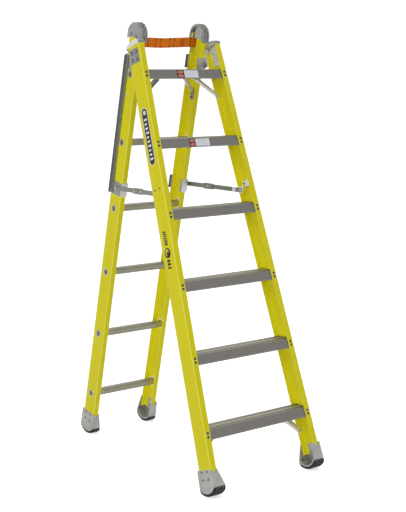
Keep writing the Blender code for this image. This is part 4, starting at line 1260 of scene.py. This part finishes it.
def build_spreaders():
    front_at = Vector(JOINTS["front_arm_left_turn"]["pos_m"])
    rear_at = Vector(JOINTS["rear_arm_left_turn"]["pos_m"])
    run = rear_at - front_at
    slope = math.atan2(run.z, run.y)
    arms = (("front", front_at, slope, FRONT_ARM_REACH, 1, (0.022, -0.024)),
            ("rear", rear_at, slope + math.pi, run.length - FRONT_ARM_REACH, -1, (0.0,)))
    for kind, at, angle, reach, out, rivets in arms:
        pivot = (at.y, at.z)
        x_low, x_high = ARM_PLATES[kind]
        face = x_high if out > 0 else x_low
        for name, side in SIDES.items():
            outline = turned_outline(arm_outline(ARM_HALF, reach, ARM_TAIL, ARM_LAP), pivot, angle)
            plate = softened(slab(outline, side, x_low, x_high), 0.0007)
            bead = turned_outline(box(0.022, reach - 0.044, -0.0035, 0.0035, 0.0034, 6), pivot, angle)
            rib = softened(slab(bead, side, face - out * 0.0004, face + out * 0.0004), 0.0003)
            body = f"{kind}_arm_{name}"
            piece(f"arm_{kind}_{name}", gather([plate, rib]), ARM_METAL, body, WORLD, "spreader_steel",
                  [f"spreader_{kind}_{name}"])
            places = turned_outline([(reach + u, 0.0) for u in rivets], pivot, angle)
            heads = [rivet(0, (side * face, d, s), side * out, 0.0052, 0.0022) for d, s in places]
            piece(f"arm_rivets_{kind}_{name}", gather(heads), RIVET_GREY, body, WORLD, "bright_steel")
    sticker = turned_outline(box(0.032, 0.054, -0.0106, 0.0106, 0.0), (front_at.y, front_at.z), slope)
    wrap = softened(slab(sticker, 1, 0.1959, 0.1997), 0.0002, 1)
    piece("arm_sticker", wrap, WHITE_FILM, "front_arm_right", WORLD, "spreader_steel")
    ear_inner, ear_outer = BRACKET_EAR
    for name, side in SIDES.items():
        base = slab(box(0.014, 0.066, 1.016, 1.047, 0.003), side, from_front_web(WALL + GAP),
                    from_front_web(0.0073))
        shelf = slab(box(0.026, 0.054, 1.016, 1.019, 0.0005, 2), side, from_front_web(0.006),
                     ear_inner + 0.0005)
        outline = [(0.026, 1.019)] + arc(BRACKET_PIVOT, 0.0135, 190, 350, 16) + [(0.054, 1.019)]
        ear = slab(outline, side, ear_inner, ear_outer)
        plates = [softened(mesh, 0.0006) for mesh in (base, shelf, ear)]
        on_front(f"arm_bracket_{name}", gather(plates), BRIGHT_FRONT, "bright_steel",
                 [f"spreader_bracket_{name}"])
        heads = []
        for d, s in ((0.0578, 1.034), (0.0231, 1.034)):
            heads.append(rivet(0, (side * front_web(s), d, s), side, 0.0046, 0.0020))
            heads.append(rivet(0, (side * (front_web(s) - 0.0073), d, s), -side, 0.0046, 0.0024))
        on_front(f"arm_bracket_rivets_{name}", gather(heads), RIVET_BLUE, "dark_steel")
        outer = ear_outer + GAP
        profile = [(0.1936, 0.003), (0.1942, 0.0062), (0.1960, 0.0070), (0.1961, 0.0040),
                   (outer, 0.0040), (outer, 0.0072), (outer + 0.0016, 0.0070), (outer + 0.0026, 0.0044)]
        on_front(f"arm_pin_front_{name}", turned_pin(side, BRACKET_PIVOT, profile), RIVET_GREY,
                 "bright_steel", [f"spreader_front_pin_{name}"])
        outer = ARM_PLATES["rear"][1] + GAP
        profile = [(0.1862, 0.004), (0.1891, 0.004), (0.1892, 0.0072), (0.1922, 0.0072), (0.1923, 0.004),
                   (outer, 0.004), (outer, 0.0070), (outer + 0.0014, 0.0068), (outer + 0.0022, 0.0046)]
        on_guides(f"arm_pin_rear_{name}", turned_pin(side, (-0.012, 1.014), profile), RIVET_GREY,
                  "bright_steel", [f"spreader_rear_pin_{name}"])


# ---------------------------------------------------------------- labels

def film(name, outline, depth, surface):
    """Thin label on the skirt of a step, facing forwards at a depth d."""
    on_front(name, plate_facing_back(outline, depth - FILM, depth), surface, "step_aluminium", angle=60)


def oval(x, s, half_x, half_s, count=28):
    return [(x + half_x * math.cos(2 * math.pi * i / count), s + half_s * math.sin(2 * math.pi * i / count))
            for i in range(count)]


def build_labels():
    face = WALL + GAP
    for step, x0, x1, x2 in ((5, -0.050, -0.010, 0.066), (4, -0.060, -0.026, 0.050)):
        base = step * PITCH
        low, high = base - 0.0165, base + 0.0155
        film(f"label_dark_{step + 1}", box(x0, x1, low, high, 0.001), face - 0.00005, BLACK_FILM)
        film(f"label_white_{step + 1}", box(x1 + 0.0005, x2, low, high, 0.001), face - 0.00005, WHITE_FILM)
        middle = (x0 + x1) / 2
        half = (high - low) / 4
        for place, row in (("low", low + half), ("high", high - half)):
            film(f"label_oval_{place}_{step + 1}", oval(middle, row, (x1 - x0) * 0.43, half * 0.78),
                 face - 0.0002, RED_FILM)
        rows = []
        for line in range(6):
            s = high - 0.0045 - line * 0.0046
            end = x2 - 0.004 - (0.014 if line in (2, 5) else 0.0)
            rows.append(plate_facing_back(box(x1 + 0.004, end, s - 0.0006, s + 0.0006, 0.0),
                                          face - 0.0003, face - 0.0002))
        on_front(f"label_rows_{step + 1}", gather(rows), GREY_FILM, "step_aluminium", angle=60)


def on_web(outline, side, lift, thickness):
    """Thin plate on the outer face of a front rail's web; outline in (d, s)."""
    return slab(outline, side, from_front_web(-lift), from_front_web(-lift - thickness))


def pill(middle, half_width, low, high):
    """Outline of an upright plate with round ends."""
    cap = arc((middle, high - half_width), half_width, 0, 180, 16)
    return cap + arc((middle, low + half_width), half_width, 180, 360, 16)


def build_decals():
    """A rounded black plate with plain bars, and a column of plain marks lower down."""
    mark_rng = random.Random(7)
    glyphs = [(0.7965 + i * 0.0087, 0.0068) for i in range(7)]
    glyphs += [(0.6975 + i * 0.0140, 0.0105) for i in range(3)]
    shapes = [(s, height, mark_rng.choice((0.3, 0.5, 0.7)), mark_rng.random() < 0.5) for s, height in glyphs]
    middle, half, stem = 0.043, 0.0115, 0.0085
    for name, side in SIDES.items():
        for part, outline, lift, surface in (
                ("border", pill(0.0410, 0.0202, 1.1385, 1.3865), 0.0001, WHITE_FILM),
                ("field", pill(0.0410, 0.0176, 1.1411, 1.3839), 0.00025, BLACK_FILM)):
            on_front(f"decal_{part}_{name}", on_web(outline, side, lift, FILM), surface, "rail_yellow",
                     angle=60)
        bars = []
        for i in range(10):
            s = 1.1620 + i * 0.0188
            bars.append(box(0.0310 + (i % 3) * 0.003, 0.0510, s, s + 0.0085, 0.001, 2))
        bars.append(pill(0.0410, 0.0085, 1.3560, 1.3745))
        on_front(f"decal_bars_{name}", gather([on_web(bar, side, 0.0004, 0.0001) for bar in bars]),
                 WHITE_FILM, "rail_yellow", angle=60)
        marks = []
        for s, height, cut, flip in shapes:
            stroke = height * 0.68
            marks.append((middle - half, middle + half, s, s + stroke))
            edge = middle + (half - stem if flip else -half)
            marks.append((edge, edge + stem, s, s + height))
            if cut > 0.4:
                top = s + height
                marks.append((middle - half * cut, middle + half * cut, top - stroke * 0.7, top))
        meshes = [on_web(box(*mark, 0.0), side, 0.0001, 0.0001 + 0.00002 * (n % 3))
                  for n, mark in enumerate(marks)]
        ring = []
        for i in range(40):
            angle = 2 * math.pi * i / 40
            outer = (0.0430 + 0.0205 * math.cos(angle), 0.7635 + 0.0215 * math.sin(angle))
            inner = (0.0452 + 0.0118 * math.cos(angle), 0.7655 + 0.0145 * math.sin(angle))
            loop = [(side * (front_web(s) + lift), d, s) for (d, s), lift in
                    ((outer, 0.0001), (inner, 0.0001), (inner, 0.0002), (outer, 0.0002))]
            ring.append(loop)
        meshes.append(loft(ring, ring=True))
        meshes.append(on_web(oval(0.0410, 0.7600, 0.0082, 0.0105), side, 0.0001, 0.0001))
        on_front(f"decal_marks_{name}", gather(meshes), BLACK_FILM, "rail_yellow", angle=60)


# ---------------------------------------------------------------- stage

FLOOR_SIZE = 30.0
FLOOR_GLOW = 0.55
SKY_STRENGTH = 1.08
LIGHTS = {"key": ((-4.6, -0.9, 2.4), 2.4, 43.0), "fill": ((0.6, -4.6, 2.6), 3.0, 12.0),
          "rim": ((1.5, 3.6, 3.2), 2.4, 20.0)}
LIT_POINT = Vector((0.0, 0.0, 0.95))
CAMERA_LENS = 86.37
CAMERA_PLACE = (-3.3108, -4.21586, 1.7105)
CAMERA_DIP = 8.669
CAMERA_YAW = -38.973


def build_stage():
    """A white floor with a slight glow of its own, a white sky and three large lamps."""
    n = Nodes("studio_floor")
    shade = n.ramp(n.noise(n.place(), 3.0, 3.0), [(0.3, (0.65, 0.65, 0.65, 1)), (0.7, (0.67, 0.67, 0.67, 1))])
    n.shader.inputs["Emission Color"].default_value = (1.0, 1.0, 1.0, 1.0)
    n.shader.inputs["Emission Strength"].default_value = FLOOR_GLOW
    bm = bmesh.new()
    bm.faces.new([bm.verts.new((FLOOR_SIZE * x, FLOOR_SIZE * y, 0.0)) for x, y in
                  ((-1, -1), (1, -1), (1, 1), (-1, 1))])
    mesh = mesh_from(bm)
    mesh.materials.append(n.finish(shade, 0.8))
    floor = bpy.data.objects.new("floor", mesh)
    bpy.context.scene.collection.objects.link(floor)
    world = bpy.data.worlds.new("studio")
    world.use_nodes = True
    world.node_tree.nodes["Background"].inputs["Color"].default_value = (1.0, 1.0, 1.0, 1.0)
    world.node_tree.nodes["Background"].inputs["Strength"].default_value = SKY_STRENGTH
    bpy.context.scene.world = world
    for name, (place, size, power) in LIGHTS.items():
        light = bpy.data.lights.new(name, "AREA")
        light.size = size
        light.energy = power
        lamp = bpy.data.objects.new(name, light)
        lamp.location = place
        lamp.rotation_euler = (LIT_POINT - Vector(place)).to_track_quat("-Z", "Y").to_euler()
        bpy.context.scene.collection.objects.link(lamp)


def build_camera():
    camera = bpy.data.cameras.new("camera")
    camera.lens = CAMERA_LENS
    camera.sensor_width = 36.0
    camera.clip_start = 0.1
    camera.clip_end = 100.0
    obj = bpy.data.objects.new("camera", camera)
    obj.location = CAMERA_PLACE
    obj.rotation_euler = (math.radians(90.0 - CAMERA_DIP), 0.0, math.radians(CAMERA_YAW))
    bpy.context.scene.collection.objects.link(obj)
    bpy.context.scene.camera = obj


def main():
    bpy.context.scene.view_settings.view_transform = "Standard"
    build_camera()
    build_stage()
    build_rails()
    build_steps()
    build_step_rivets()
    build_feet()
    build_rungs()
    build_guards()
    build_strap()
    build_strap_bars()
    build_guides()
    build_hinges()
    build_braces()
    build_spreaders()
    build_labels()
    build_decals()


main()
